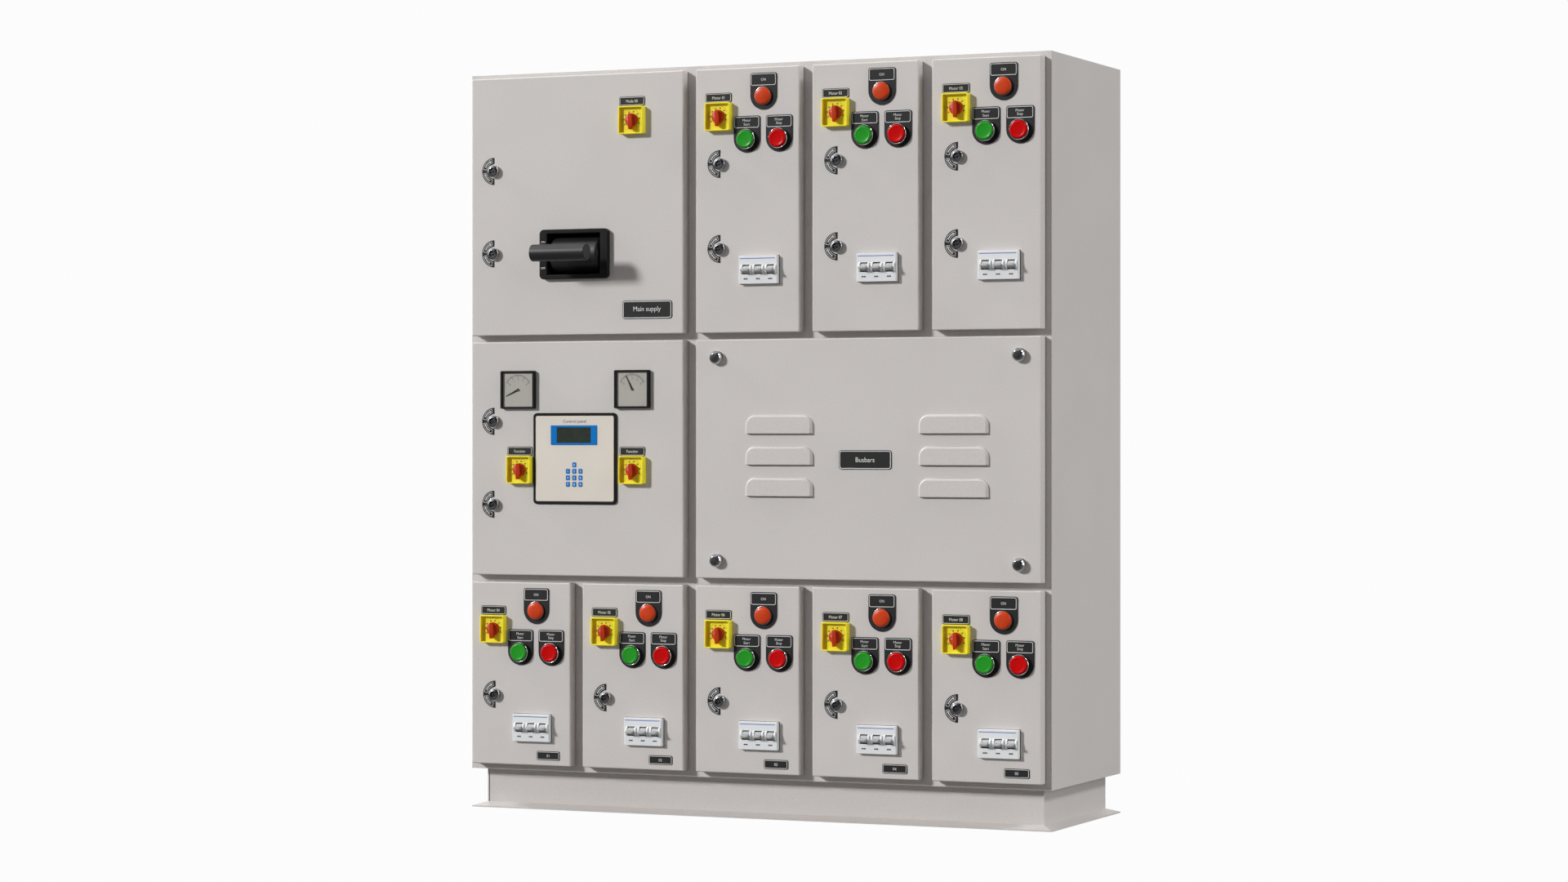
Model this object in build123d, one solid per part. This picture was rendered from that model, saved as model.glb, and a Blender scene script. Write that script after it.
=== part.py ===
from build123d import *
import os
import math

# ---------------------------------------------------------------- driving dimensions (mm)
W = 1065.0          # body width
D = 347.0           # body depth, frame plane to rear face
H = 1200.0          # body height above the plinth
PL = 67.0           # plinth height
T = 1.5             # panel sheet
FT = 3.0            # front frame bar thickness
F = -D / 2          # front frame plane
B = D / 2           # rear face
DOOR_P = 20.0       # door front plane ahead of the frame plane
DOOR_G = 2.0        # gap between door return and frame plane
SKIN = 1.5          # door sheet
DF = F - DOOR_P     # y of the door's front face
DI = DF + SKIN      # y of the door skin's inner face
DR = F - DOOR_G     # y of the door return's rear edge
COLS = [10.5 + 213.5 * i for i in range(5)]
DOOR_W = 190.0
BIG_W = 403.5
ROW1 = (10.5, 324.5)
ROW2 = (336.5, 737.5)
ROW3 = (748.5, 1192.0)
COVER = (437.5, 1054.5)
LAP = 12.0          # frame lip behind the door's left, top and bottom edges
LAP_R = 25.0        # frame lip behind the hinge edge
HINGE_IN = 5.0      # hinge axis in from the door's right edge
HINGE_Y = F - 10.0  # hinge axis, midway in the door's depth
PIN_R = 2.5
RUN = 0.05          # radial running clearance
PLATE_Y = F + 290.0  # front face of the mounting plates

nodes = {}


def X(x):
    return x - W / 2


def Z(z):
    return z + PL


def add(node, *shapes):
    for s in shapes:
        nodes.setdefault(node, []).extend(s.solids())


def bx(x0, x1, y0, y1, z0, z1):
    return Box(x1 - x0, y1 - y0, z1 - z0, align=(Align.MIN, Align.MIN, Align.MIN)).moved(Location((x0, y0, z0)))


def cy(x, z, r, y0, y1):
    """Cylinder along Y."""
    return Cylinder(r, y1 - y0, align=(Align.CENTER, Align.CENTER, Align.MIN)).moved(Location((x, y0, z), (-90, 0, 0)))


def cx(y, z, r, x0, x1):
    """Cylinder along X."""
    return Cylinder(r, x1 - x0, align=(Align.CENTER, Align.CENTER, Align.MIN)).moved(Location((x0, y, z), (0, 90, 0)))


def cz(x, y, r, z0, z1):
    """Cylinder along Z."""
    return Cylinder(r, z1 - z0, align=(Align.CENTER, Align.CENTER, Align.MIN)).moved(Location((x, y, z0)))


def plate(x, z, w, h, y0, y1):
    """Rectangular plate centred on x, z."""
    return bx(x - w / 2, x + w / 2, y0, y1, z - h / 2, z + h / 2)


# ---------------------------------------------------------------- case and plinth
add("cabinet_panels",
    bx(-W / 2, -W / 2 + T, F + FT, B - T, PL, PL + H),
    bx(W / 2 - T, W / 2, F + FT, B - T, PL, PL + H),
    bx(-W / 2 + T, W / 2 - T, F + FT, B - T, PL + H - T, PL + H),
    bx(-W / 2 + T, W / 2 - T, F + FT, B - T, PL, PL + T))
# blank gland plate screwed over the cable entry in the floor
add("cabinet_panels", bx(-380, 380, -40, 80, PL - 2, PL))
add("rear_panel", bx(-W / 2, W / 2, B - T, B, PL, PL + H))

IN = 20.0           # plinth wall inset
KICK = 8.6          # height of the skirt's slope
LIP = 2.0
bottom = bx(-W / 2, W / 2, F, B, 0, LIP)
slope = loft([
    Plane.XY.offset(LIP) * Rectangle(W, D),
    Plane.XY.offset(KICK) * Rectangle(W - 2 * IN, D - 2 * IN)])
skirt = bottom + slope
SET = 1.5           # front and rear walls set in behind the side walls' edges
for seg in ((-W / 2, W / 2, F, F + IN + 4), (-W / 2, W / 2, B - IN - 4, B),
            (-W / 2, -W / 2 + IN + 2, F + IN + 4, B - IN - 4), (W / 2 - IN - 2, W / 2, F + IN + 4, B - IN - 4)):
    add("plinth", skirt & bx(*seg, 0, KICK))
add("plinth",
    bx(-W / 2 + IN + 2, W / 2 - IN - 2, F + IN + SET, F + IN + SET + 2, KICK, PL),
    bx(-W / 2 + IN + 2, W / 2 - IN - 2, B - IN - SET - 2, B - IN - SET, KICK, PL),
    bx(-W / 2 + IN, -W / 2 + IN + 2, F + IN, B - IN, KICK, PL),
    bx(W / 2 - IN - 2, W / 2 - IN, F + IN, B - IN, KICK, PL))
ANCHOR_X, ANCHOR_Y, ANCHOR_R = 480.0, 121.0, 7.0
for sx in (-1, 1):
    for sy in (-1, 1):
        x, y = sx * ANCHOR_X, sy * ANCHOR_Y
        add("plinth", bx(x - 30, x + 30, y - 30, y + 30, 0, 3) - cz(x, y, ANCHOR_R, -1, 4))

# ---------------------------------------------------------------- front frame
openings = []
for c in COLS:
    openings.append((c + LAP, c + DOOR_W - LAP_R, ROW1[0] + LAP, ROW1[1] - LAP))
row2 = [(COLS[0] + LAP, COLS[0] + BIG_W - LAP_R), (COVER[0] + LAP, COVER[1] - LAP)]
row3 = [(COLS[0] + LAP, COLS[0] + BIG_W - LAP_R)] + [(c + LAP, c + DOOR_W - LAP_R) for c in COLS[2:]]
row1 = [(o[0], o[1]) for o in openings]


def bar(x0, x1, z0, z1):
    return bx(X(x0), X(x1), F, F + FT, Z(z0), Z(z1))


levels = [(0, ROW1[0] + LAP), (ROW1[1] - LAP, ROW2[0] + LAP), (ROW2[1] - LAP, ROW3[0] + LAP), (ROW3[1] - LAP, H)]
for z0, z1 in levels:
    add("front_frame", bar(0, W, z0, z1))
for (z0, z1), spans in (((levels[0][1], levels[1][0]), row1), ((levels[1][1], levels[2][0]), row2), ((levels[2][1], levels[3][0]), row3)):
    edge = 0.0
    for a, b in spans + [(W, W)]:
        add("front_frame", bar(edge, a, z0, z1))
        edge = b
# corner brackets behind the bolted cover, drilled for its captive screws
KNOBS = [(477.0, 707.0), (1017.5, 707.0), (477.0, 366.5), (1017.5, 366.5)]
for kx, kz in KNOBS:
    x0, x1 = (COVER[0] + LAP, kx + 15) if kx < 700 else (kx - 15, COVER[1] - LAP)
    z0, z1 = (kz - 15, ROW2[1] - LAP) if kz > 500 else (ROW2[0] + LAP, kz + 15)
    add("front_frame", bar(x0, x1, z0, z1) - cy(X(kx), Z(kz), 4.5, F - 1, F + FT + 1))

# ---------------------------------------------------------------- internal partitions and mounting plates
SHELF = (330.5, 743.0)
IX0, IX1 = -W / 2 + T, W / 2 - T
for z0, z1 in ((T, SHELF[0] - 1), (SHELF[0] + 1, SHELF[1] - 1), (SHELF[1] + 1, H - T)):
    add("mounting_plates", bx(IX0, IX1, PLATE_Y, PLATE_Y + 2, Z(z0), Z(z1)))
for z in SHELF:
    add("mounting_plates", bx(IX0, IX1, F + FT, PLATE_Y, Z(z - 1), Z(z + 1)))
part_x = {}
for row, (z0, z1), spans in ((1, (T, SHELF[0] - 1), row1), (2, (SHELF[0] + 1, SHELF[1] - 1), row2), (3, (SHELF[1] + 1, H - T), row3)):
    xs = []
    for (a, b), (c, d) in zip(spans, spans[1:]):
        m = c - 16.0
        xs.append(m)
        add("mounting_plates", bx(X(m) - 1, X(m) + 1, F + FT, PLATE_Y, Z(z0), Z(z1)))
    part_x[row] = xs

# ---------------------------------------------------------------- breakers, busbars, starters
NOSE_P = 8.0        # breaker nose ahead of the door face
NOSE = (70.0, 47.0)
TOG_IN = 3.0        # lever axis behind the nose's face
TOG_PITCH = 22.5    # spacing of the three levers
SPINDLE_R = 2.0     # spindle that joins them
TOG_DX = 0.8        # lever group right of the nose centre
TOG_TILT = 4.0      # levers stand almost straight out, tips slightly low
BAYS = []           # number, door left, door bottom, door top, breaker height
for i, c in enumerate(COLS):
    BAYS.append((i + 1, c, ROW1[0], ROW1[1], ROW1[1] - 249.5))
for i, c in enumerate(COLS[2:]):
    BAYS.append((i + 6, c, ROW3[0], ROW3[1], ROW3[1] - 339.0))

for n, xl, z0, z1, zb in BAYS:
    x, z = X(xl + 119.0), Z(zb)
    nf = DF - NOSE_P
    body = plate(x, z, 70, 90, F - 8, F + 41)
    nose = plate(x, z, NOSE[0], NOSE[1], nf, F - 8)
    ay, az = nf + TOG_IN, z + 0.5
    breaker = nose + body
    for k in (-1, 0, 1):
        for s in (-1, 1):
            # guard fin on each side of the lever
            xk = x + TOG_DX + TOG_PITCH * k
            a, b = sorted((xk + s * 6.7, xk + s * 9.5))
            breaker = breaker + (cx(nf + 6, az, 10.0, a, b) & bx(a, b, nf - 5, nf + 0.5, az - 8, az + 8))
    for k in (-1, 0, 1):
        breaker = breaker - plate(x + TOG_DX + TOG_PITCH * k, az, 13.4, 16, nf - 1, nf + 11)
    breaker = breaker - cx(ay, az, SPINDLE_R + RUN, x - 32.5, x + 32.5)
    add("circuit_breakers", breaker)
    # rail and its bracket between the partitions
    row = part_x[1] if n <= 5 else part_x[3]
    left = max([X(m) + 1 for m in row if m < xl] + [IX0])
    right = min([X(m) - 1 for m in row if m > xl] + [IX1])
    add("mounting_plates", bx(left, right, F + 48.5, F + 50.5, z - 30, z + 30))
    add("starter_gear", bx(left + 5, right - 5, F + 41, F + 48.5, z - 17.5, z + 17.5))
    # three levers on one spindle
    piece = cx(ay, az, SPINDLE_R, x - 32, x + 32)
    for k in (-1, 0, 1):
        xk = x + TOG_DX + TOG_PITCH * k
        lever = bx(xk - 6.2, xk + 6.2, ay - 15.5, ay, az - 2, az + 2)
        lever = lever.rotate(Axis((x, ay, az), (1, 0, 0)), TOG_TILT)
        piece = piece + cx(ay, az, 6.5, xk - 6.2, xk + 6.2) + lever
    add("breaker_toggle_%d" % n, piece)
    # starter: rail, contactor, overload relay, terminal strip
    cxm = (left + right) / 2
    zt = Z(z0) + (85 if n <= 5 else 300)
    add("starter_gear",
        bx(left + 5, right - 5, PLATE_Y - 7.5, PLATE_Y, zt + 60 - 17.5, zt + 60 + 17.5),
        bx(cxm - 55, cxm - 10, PLATE_Y - 92.5, PLATE_Y - 7.5, zt + 22, zt + 100),
        bx(cxm - 54, cxm - 11, PLATE_Y - 85, PLATE_Y - 10, zt - 36, zt + 22),
        bx(cxm + 8, cxm + 53, PLATE_Y - 75, PLATE_Y - 7.5, zt + 20, zt + 95),
        bx(left + 12, right - 12, PLATE_Y - 45, PLATE_Y, Z(z0) + 8, Z(z0) + 42))

MX, MZ = X(211.0), Z(886.3)
add("circuit_breakers",
    plate(MX, MZ, 140, 257, PLATE_Y - 103, PLATE_Y),
    plate(MX, MZ, 96, 90, PLATE_Y - 143, PLATE_Y - 103))
# control bay: transformer, relay row, rail
add("starter_gear",
    bx(X(60), X(370), PLATE_Y - 7.5, PLATE_Y, Z(640), Z(675)),
    *[bx(X(80 + 27 * k), X(80 + 27 * k + 24), PLATE_Y - 77.5, PLATE_Y - 7.5, Z(618), Z(698)) for k in range(8)],
    bx(X(90), X(210), PLATE_Y - 95, PLATE_Y, Z(400), Z(500)),
    bx(X(240), X(340), PLATE_Y - 60, PLATE_Y, Z(400), Z(520)))
BUS_Z = (640.0, 590.0, 540.0, 490.0)
for z in BUS_Z:
    add("busbars", bx(X(455), X(1050), F + 170, F + 175, Z(z) - 15, Z(z) + 15))
for x in (500.0, 746.0, 1005.0):
    add("busbars", bx(X(x) - 12, X(x) + 12, F + 175, PLATE_Y, Z(465), Z(665)))
add("busbars", bx(IX0 + 40, IX1 - 40, B - 45, B - 40, Z(40), Z(65)),
    *[bx(x - 10, x + 10, B - 40, B - T, Z(40), Z(65)) for x in (-420, 0, 420)])

# ---------------------------------------------------------------- doors


def hinge_pair(z0, z1):
    return (z0 + 55.0, z1 - 55.0)


def door_shell(node, xl, w, z0, z1, holes):
    """Folded pan, stiffener channels, foam seal, knuckles and their fixed leaves."""
    xa, xb, za, zb = X(xl), X(xl + w), Z(z0), Z(z1)
    pan = bx(xa, xb, DF, DR, za, zb) - bx(xa + SKIN, xb - SKIN, DI, DR + 1, za + SKIN, zb - SKIN)
    for h in holes:
        pan = pan - h
    add(node, pan)
    for a, b, c, d in ((3, 9, 3, z1 - z0 - 3), (w - 24.5, w - 20, 3, z1 - z0 - 3)):
        add(node, bx(xa + a, xa + b, DI, F - 8, za + c, za + d), bx(xa + a, xa + b, F - 8, F - 0.5, za + c, za + d))
    for c, d in ((3, 9), (z1 - z0 - 9, z1 - z0 - 3)):
        add(node, bx(xa + 9, xa + w - 24.5, DI, F - 8, za + c, za + d), bx(xa + 9, xa + w - 24.5, F - 8, F - 0.5, za + c, za + d))
    ax = xb - HINGE_IN
    for hz in hinge_pair(za, zb):
        pin = cz(ax, HINGE_Y, PIN_R, hz - 11, hz + 11)
        add(node, bx(ax - 3.5, ax + 3.5, HINGE_Y - 3.5, HINGE_Y + 3.5, hz - 7, hz + 7) - cz(ax, HINGE_Y, PIN_R + RUN, hz - 8, hz + 8))
        for a, b in ((7.4, 10.4), (-10.4, -7.4)):
            arm = bx(ax - 14, ax, HINGE_Y - 3, HINGE_Y + 0.5, hz + a, hz + b) + bx(ax - 14, ax - 11, HINGE_Y - 3, F, hz + a, hz + b) + cz(ax, HINGE_Y, 3.2, hz + a, hz + b)
            add("hinge_set", arm - cz(ax, HINGE_Y, PIN_R, hz - 12, hz + 12))
        add("hinge_set", bx(ax - 14, ax - 11, F - 2, F, hz - 7.4, hz + 7.4))
        add("hinge_set", pin)


def half_label(x, z):
    ring = cy(x, z, 23.4, DF - 0.8, DF) - cy(x, z, 12.6, DF - 2, DF + 1)
    return ring - bx(x, x + 30, DF - 2, DF + 1, z - 30, z + 30)


CAM_Y = (F + FT + 1.0, F + FT + 3.5)


def lock_parts(x, z):
    """Barrel through the door, and the cam that turns behind the frame. The cam hangs down when unlocked."""
    barrel = cy(x, z, 10.5, DF - 9, DF) + cy(x, z, 8.0, DF - 1, CAM_Y[0])
    slot = bx(x - 1.5, x + 1.5, DF - 10, DF - 6, z - 7, z + 7)
    cam = bx(x - 8, x + 8, CAM_Y[0], CAM_Y[1], z - 42, z + 8)
    return barrel - slot, cam


def static_lock(node, x, z):
    add(node, half_label(x, z), *lock_parts(x, z))


def lock_hole(x, z):
    return cy(x, z, 8.0, DF - 1, DI + 1)


def selector(node, mover, x, z, name_w=48.0, name_dz=32.2, name_dx=-2.0):
    """Yellow escutcheon with a raised rim on the door, a turning knob in it, and its switch block behind."""
    body = plate(x, z, 46, 47.5, DF - 12, DF) - plate(x, z, 41, 42.5, DF - 13, DF - 5.5)
    add(node, body - cy(x, z, 4.0 + RUN, DF - 10, DF + 1))
    add(node, plate(x + name_dx, z + name_dz, name_w, 16, DF - 1.2, DF))
    block = plate(x, z, 42, 42, DI, DI + 48) - cy(x, z, 5.0, DI - 1, DI + 20)
    add(node, block)
    knob = cy(x, z, 11.5, DF - 10.5, DF - 6)
    grip = bx(x - 3.5, x + 3.5, DF - 20, DF - 10.5, z - 11, z + 11)
    tail = extrude(Plane((x, DF - 10.5, z), x_dir=(1, 0, 0), z_dir=(0, -1, 0)) * make_face(Polyline((-3.5, -10.5), (3.5, -10.5), (0, -16.5), (-3.5, -10.5))), 9.5)
    add(mover, knob + grip + tail + cy(x, z, 4.0, DF - 6.5, DI + 16))


def selector_hole(x, z):
    return cy(x, z, 4.0 + RUN, DF - 1, DI + 1)


BTN_DROP = 2.7      # button centre below the centre of its plate's round foot


def pushbutton(node, mover, x, z):
    """Legend plate, metal collar and contact block on the door; cap and stem travel inwards."""
    zb = z - BTN_DROP
    leg = (bx(x - 24, x + 24, DF - 2, DF, z - 1, z + 36.5) + cy(x, z - 1, 24.0, DF - 2, DF)) - cy(x, zb, 6.0, DF - 3, DF + 1)
    add(node, leg)
    add(node, cy(x, zb, 17.3, DF - 9, DF - 2) - cy(x, zb, 15.4, DF - 10, DF - 1))
    add(node, plate(x, zb, 20, 44, DI + 17, DI + 55), bx(x - 10, x - 6.5, DI, DI + 17, zb - 22, zb + 22), bx(x + 6.5, x + 10, DI, DI + 17, zb - 22, zb + 22))
    add(mover, cy(x, zb, 14.9, DF - 12, DF - 7) + cy(x, zb, 5.0, DF - 8, DI + 12))


def button_hole(x, z):
    return cy(x, z - BTN_DROP, 6.0, DF - 1, DI + 1)


def lamp(node, x, z):
    add(node, bx(x - 24, x + 24, DF - 2, DF, z - 0.9, z + 36.6) + cy(x, z - 0.9, 24.0, DF - 2, DF))
    zl = z - 2.1
    add(node, cy(x, zl, 16.0, DF - 4, DF - 2), cy(x, zl, 14.5, DF - 9.5, DF - 4))
    add(node, cy(x, zl, 14.0, DI, DI + 45))


CUT = (3.0, 0.8, 0.6)   # door cut-out clearance round the breaker nose: swinging side, hinge side, top and bottom
for n, xl, z0, z1, zb in BAYS:
    node = "motor_door_%d" % n
    x0, zt = X(xl), Z(z1)
    sel = (x0 + 44.5, zt - 81.2)
    on = (x0 + 95.0, zt - 117.5)
    off = (x0 + 154.0, zt - 117.5)
    locks = [(x0 + 45.5, zt - 194.0)] if n <= 5 else [(x0 + 45.5, zt - 160.0), (x0 + 45.5, zt - 302.5)]
    bxm, bzm = x0 + 119.0, Z(zb)
    holes = [selector_hole(*sel), button_hole(*on), button_hole(*off),
             bx(bxm - NOSE[0] / 2 - CUT[0], bxm + NOSE[0] / 2 + CUT[1], DF - 1, DI + 1, bzm - NOSE[1] / 2 - CUT[2], bzm + NOSE[1] / 2 + CUT[2])] + [lock_hole(*p) for p in locks]
    door_shell(node, xl, DOOR_W, z0, z1, holes)
    lamp(node, x0 + 125.5, zt - 46.5)
    selector(node, "selector_%d" % n, *sel)
    pushbutton(node, "start_button_%d" % n, *on)
    pushbutton(node, "stop_button_%d" % n, *off)
    for p in locks:
        static_lock(node, *p)
    if n <= 5:
        add(node, plate(x0 + 148.0, zt - 296.75, 48, 16, DF - 1.2, DF))

# incoming supply door
node = "incomer_door"
x0, zt = X(COLS[0]), Z(ROW3[1])
locks = [(X(54.0), Z(1032.0)), (X(54.0), Z(889.8))]
sel = (X(320.5), Z(1110.8))
HX, HZ = X(211.0), Z(886.3)
OPEN_W, OPEN_H = 102.0, 71.0
PIV_Y = DF + 22.0
door_shell(node, COLS[0], BIG_W, ROW3[0], ROW3[1],
           [selector_hole(*sel), plate(HX, HZ, OPEN_W, OPEN_H, DF - 1, DI + 1)] + [cy(p[0], p[1], 8.0 + RUN, DF - 1, DI + 1) for p in locks])
selector(node, "selector_incomer", *sel, name_dz=32.7)
add(node, plate(X(347.0), Z(789.7), 93, 31, DF - 1.2, DF))
add(node, plate(HX, HZ, 130, 85, DF - 9, DF) - plate(HX, HZ, OPEN_W, OPEN_H, DF - 10, DF + 1))
for s in (-1, 1):
    a, b = sorted((HX + s * 51, HX + s * 54))
    add(node, bx(a, b, DI, DI + 58, HZ - 36, HZ + 36) - cx(PIV_Y, HZ, 4.0 + RUN, a - 1, b + 1))
add(node, bx(HX - 54, HX + 54, DI + 58, DI + 60, HZ - 36, HZ + 36))
for name, (lx, lz) in zip(("incomer_lock_upper", "incomer_lock_lower"), locks):
    add(node, half_label(lx, lz))
    barrel, cam = lock_parts(lx, lz)
    add(name, barrel, cam)
# drum, neck and crossbar grip
GRIP_Y = DF - 60.0
drum = cx(PIV_Y, HZ, 33.0, HX - 48, HX + 48) + cx(PIV_Y, HZ, 4.0, HX - 53.5, HX + 53.5)
neck = bx(HX - 9, HX + 9, GRIP_Y, PIV_Y - 20, HZ - 7, HZ + 7)
add("main_handle", drum, bx(HX - 9, HX + 9, GRIP_Y + 14.5, PIV_Y - 33, HZ - 7, HZ + 7) - cx(PIV_Y, HZ, 33.0, HX - 48, HX + 48) - cx(GRIP_Y, HZ, 14.5, HX - 52, HX + 52), cx(GRIP_Y, HZ, 14.5, HX - 52, HX + 52))

# control and metering door
node = "control_door"
locks = [(X(54.0), Z(601.0)), (X(54.0), Z(458.0))]
sels = [(X(106.0), Z(517.6)), (X(321.0), Z(517.6))]
meters = [(X(102.1), Z(655.0)), (X(320.1), Z(655.0))]
door_shell(node, COLS[0], BIG_W, ROW2[0], ROW2[1],
           [selector_hole(*p) for p in sels] + [lock_hole(*p) for p in locks])
for p, s in zip(sels, ("left", "right")):
    selector(node, "selector_control_" + s, *p, name_dz=31.9)
for p in locks:
    static_lock(node, *p)
NEEDLE = 26.0
for (mx, mz), s, ang in zip(meters, ("left", "right"), (205.0, 116.0)):
    add(node, plate(mx, mz, 66, 65, DF - 7, DF) - plate(mx, mz, 57, 57, DF - 8, DF - 3.0))
    add(node, plate(mx, mz, 57, 57, DF - 6.8, DF - 6.0))
    add(node, cy(mx, mz, 1.0, DF - 5.1, DF - 3.0))
    add(node, plate(mx, mz, 60, 60, DI, DI + 50))
    hub = cy(mx, mz, 2.2, DF - 5.6, DF - 3.5) + bx(mx - 6, mx + NEEDLE, DF - 5.1, DF - 4.3, mz - 0.7, mz + 0.7)
    hub = hub - cy(mx, mz, 1.0 + RUN, DF - 5.1 - RUN, DF - 3)
    hub = hub.rotate(Axis((mx, 0, mz), (0, 1, 0)), -ang)
    add("meter_needle_" + s, hub)
ux0, ux1, uz0, uz1 = X(131.0), X(290.0), Z(459.0), Z(615.0)
add(node, bx(ux0, ux1, DF - 3, DF, uz0, uz1),
    bx(X(165.3), X(253.6), DF - 4.2, DF - 3, Z(560.2), Z(593.8)),
    bx(ux0 + 8, ux1 - 8, DI, DI + 60, uz0 + 8, uz1 - 8))
for kx in (197.9, 210.1, 221.9):
    for kz in (515.4, 504.2, 493.0):
        add(node, plate(X(kx), Z(kz), 8.5, 8.5, DF - 3.9, DF - 3))
add(node, plate(X(210.1), Z(526.3), 8.5, 8.5, DF - 3.9, DF - 3))

# ---------------------------------------------------------------- bolted louvred cover with captive knobs
xa, xb, za, zb = X(COVER[0]), X(COVER[1]), Z(ROW2[0]), Z(ROW2[1])
LOUV_X = (530.4, 841.8)
LOUV_Z = (579.8, 527.8, 475.4)
LW, LH, LP = 122.0, 31.0, 6.0
cover = bx(xa, xb, DF, DR, za, zb) - bx(xa + SKIN, xb - SKIN, DI, DR + 1, za + SKIN, zb - SKIN)
for lx in LOUV_X:
    for lz in LOUV_Z:
        cover = cover - bx(X(lx) + 3, X(lx) + LW - 3, DF - 1, DI + 1, Z(lz) + 2, Z(lz) + 18)
for kx, kz in KNOBS:
    cover = cover - cy(X(kx), Z(kz), 4.5, DF - 1, DI + 1)
add("louvred_cover", cover)
for lx in LOUV_X:
    for lz in LOUV_Z:
        a, b, c, d = X(lx), X(lx) + LW, Z(lz), Z(lz) + LH
        add("louvred_cover", bx(a, b, DF - LP, DF, c, d) - bx(a + 1.5, b - 1.5, DF - LP + 1.5, DF + 1, c - 1, d - 1.5))
for kx, kz in KNOBS:
    add("louvred_cover", cy(X(kx), Z(kz), 11.5, DF - 13, DF) + cy(X(kx), Z(kz), 4.0, DF - 1, F + FT + 8))
add("louvred_cover", plate(X(746.5), Z(536.0), 94, 32, DF - 1.2, DF))

# ---------------------------------------------------------------- write
os.makedirs("parts", exist_ok=True)
for name, solids in nodes.items():
    shape = solids[0] if len(solids) == 1 else Compound(solids)
    export_step(shape, "parts/%s.step" % name)
print(len(nodes), "nodes")
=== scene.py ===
import bpy
import math
from mathutils import Matrix, Vector


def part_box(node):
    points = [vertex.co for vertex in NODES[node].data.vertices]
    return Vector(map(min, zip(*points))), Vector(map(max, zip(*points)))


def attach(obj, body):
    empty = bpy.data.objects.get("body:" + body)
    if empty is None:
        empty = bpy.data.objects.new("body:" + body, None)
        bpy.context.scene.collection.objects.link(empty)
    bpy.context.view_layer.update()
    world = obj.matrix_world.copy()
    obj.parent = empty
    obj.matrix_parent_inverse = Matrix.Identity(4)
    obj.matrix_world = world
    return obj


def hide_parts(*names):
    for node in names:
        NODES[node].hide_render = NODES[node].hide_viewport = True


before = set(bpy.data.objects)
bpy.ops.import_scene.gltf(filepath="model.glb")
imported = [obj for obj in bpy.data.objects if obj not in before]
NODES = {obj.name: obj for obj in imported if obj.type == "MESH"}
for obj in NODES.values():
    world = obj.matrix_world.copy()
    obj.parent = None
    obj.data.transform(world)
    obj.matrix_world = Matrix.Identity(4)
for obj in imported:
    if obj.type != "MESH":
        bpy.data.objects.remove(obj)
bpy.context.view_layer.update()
MM = 0.001

# ------------------------------------------------------------------ places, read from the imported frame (mm)


def mmbox(node):
    lo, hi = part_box(node)
    return [c * 1000 for c in lo], [c * 1000 for c in hi]


F = mmbox("front_frame")[0][1]            # frame plane
CAB_LO, CAB_HI = mmbox("rear_panel")
W = CAB_HI[0] - CAB_LO[0]
BX0, BX1 = CAB_LO[0], CAB_HI[0]
BZ0, BZ1 = CAB_LO[2], CAB_HI[2]
BACK = CAB_HI[1]
DF = F - 20.0                             # door face
SKIN = 1.5

# ------------------------------------------------------------------ materials


def srgb(r, g, b):
    def lin(c):
        c /= 255.0
        return c / 12.92 if c <= 0.04045 else ((c + 0.055) / 1.055) ** 2.4
    return (lin(r), lin(g), lin(b), 1.0)


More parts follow.
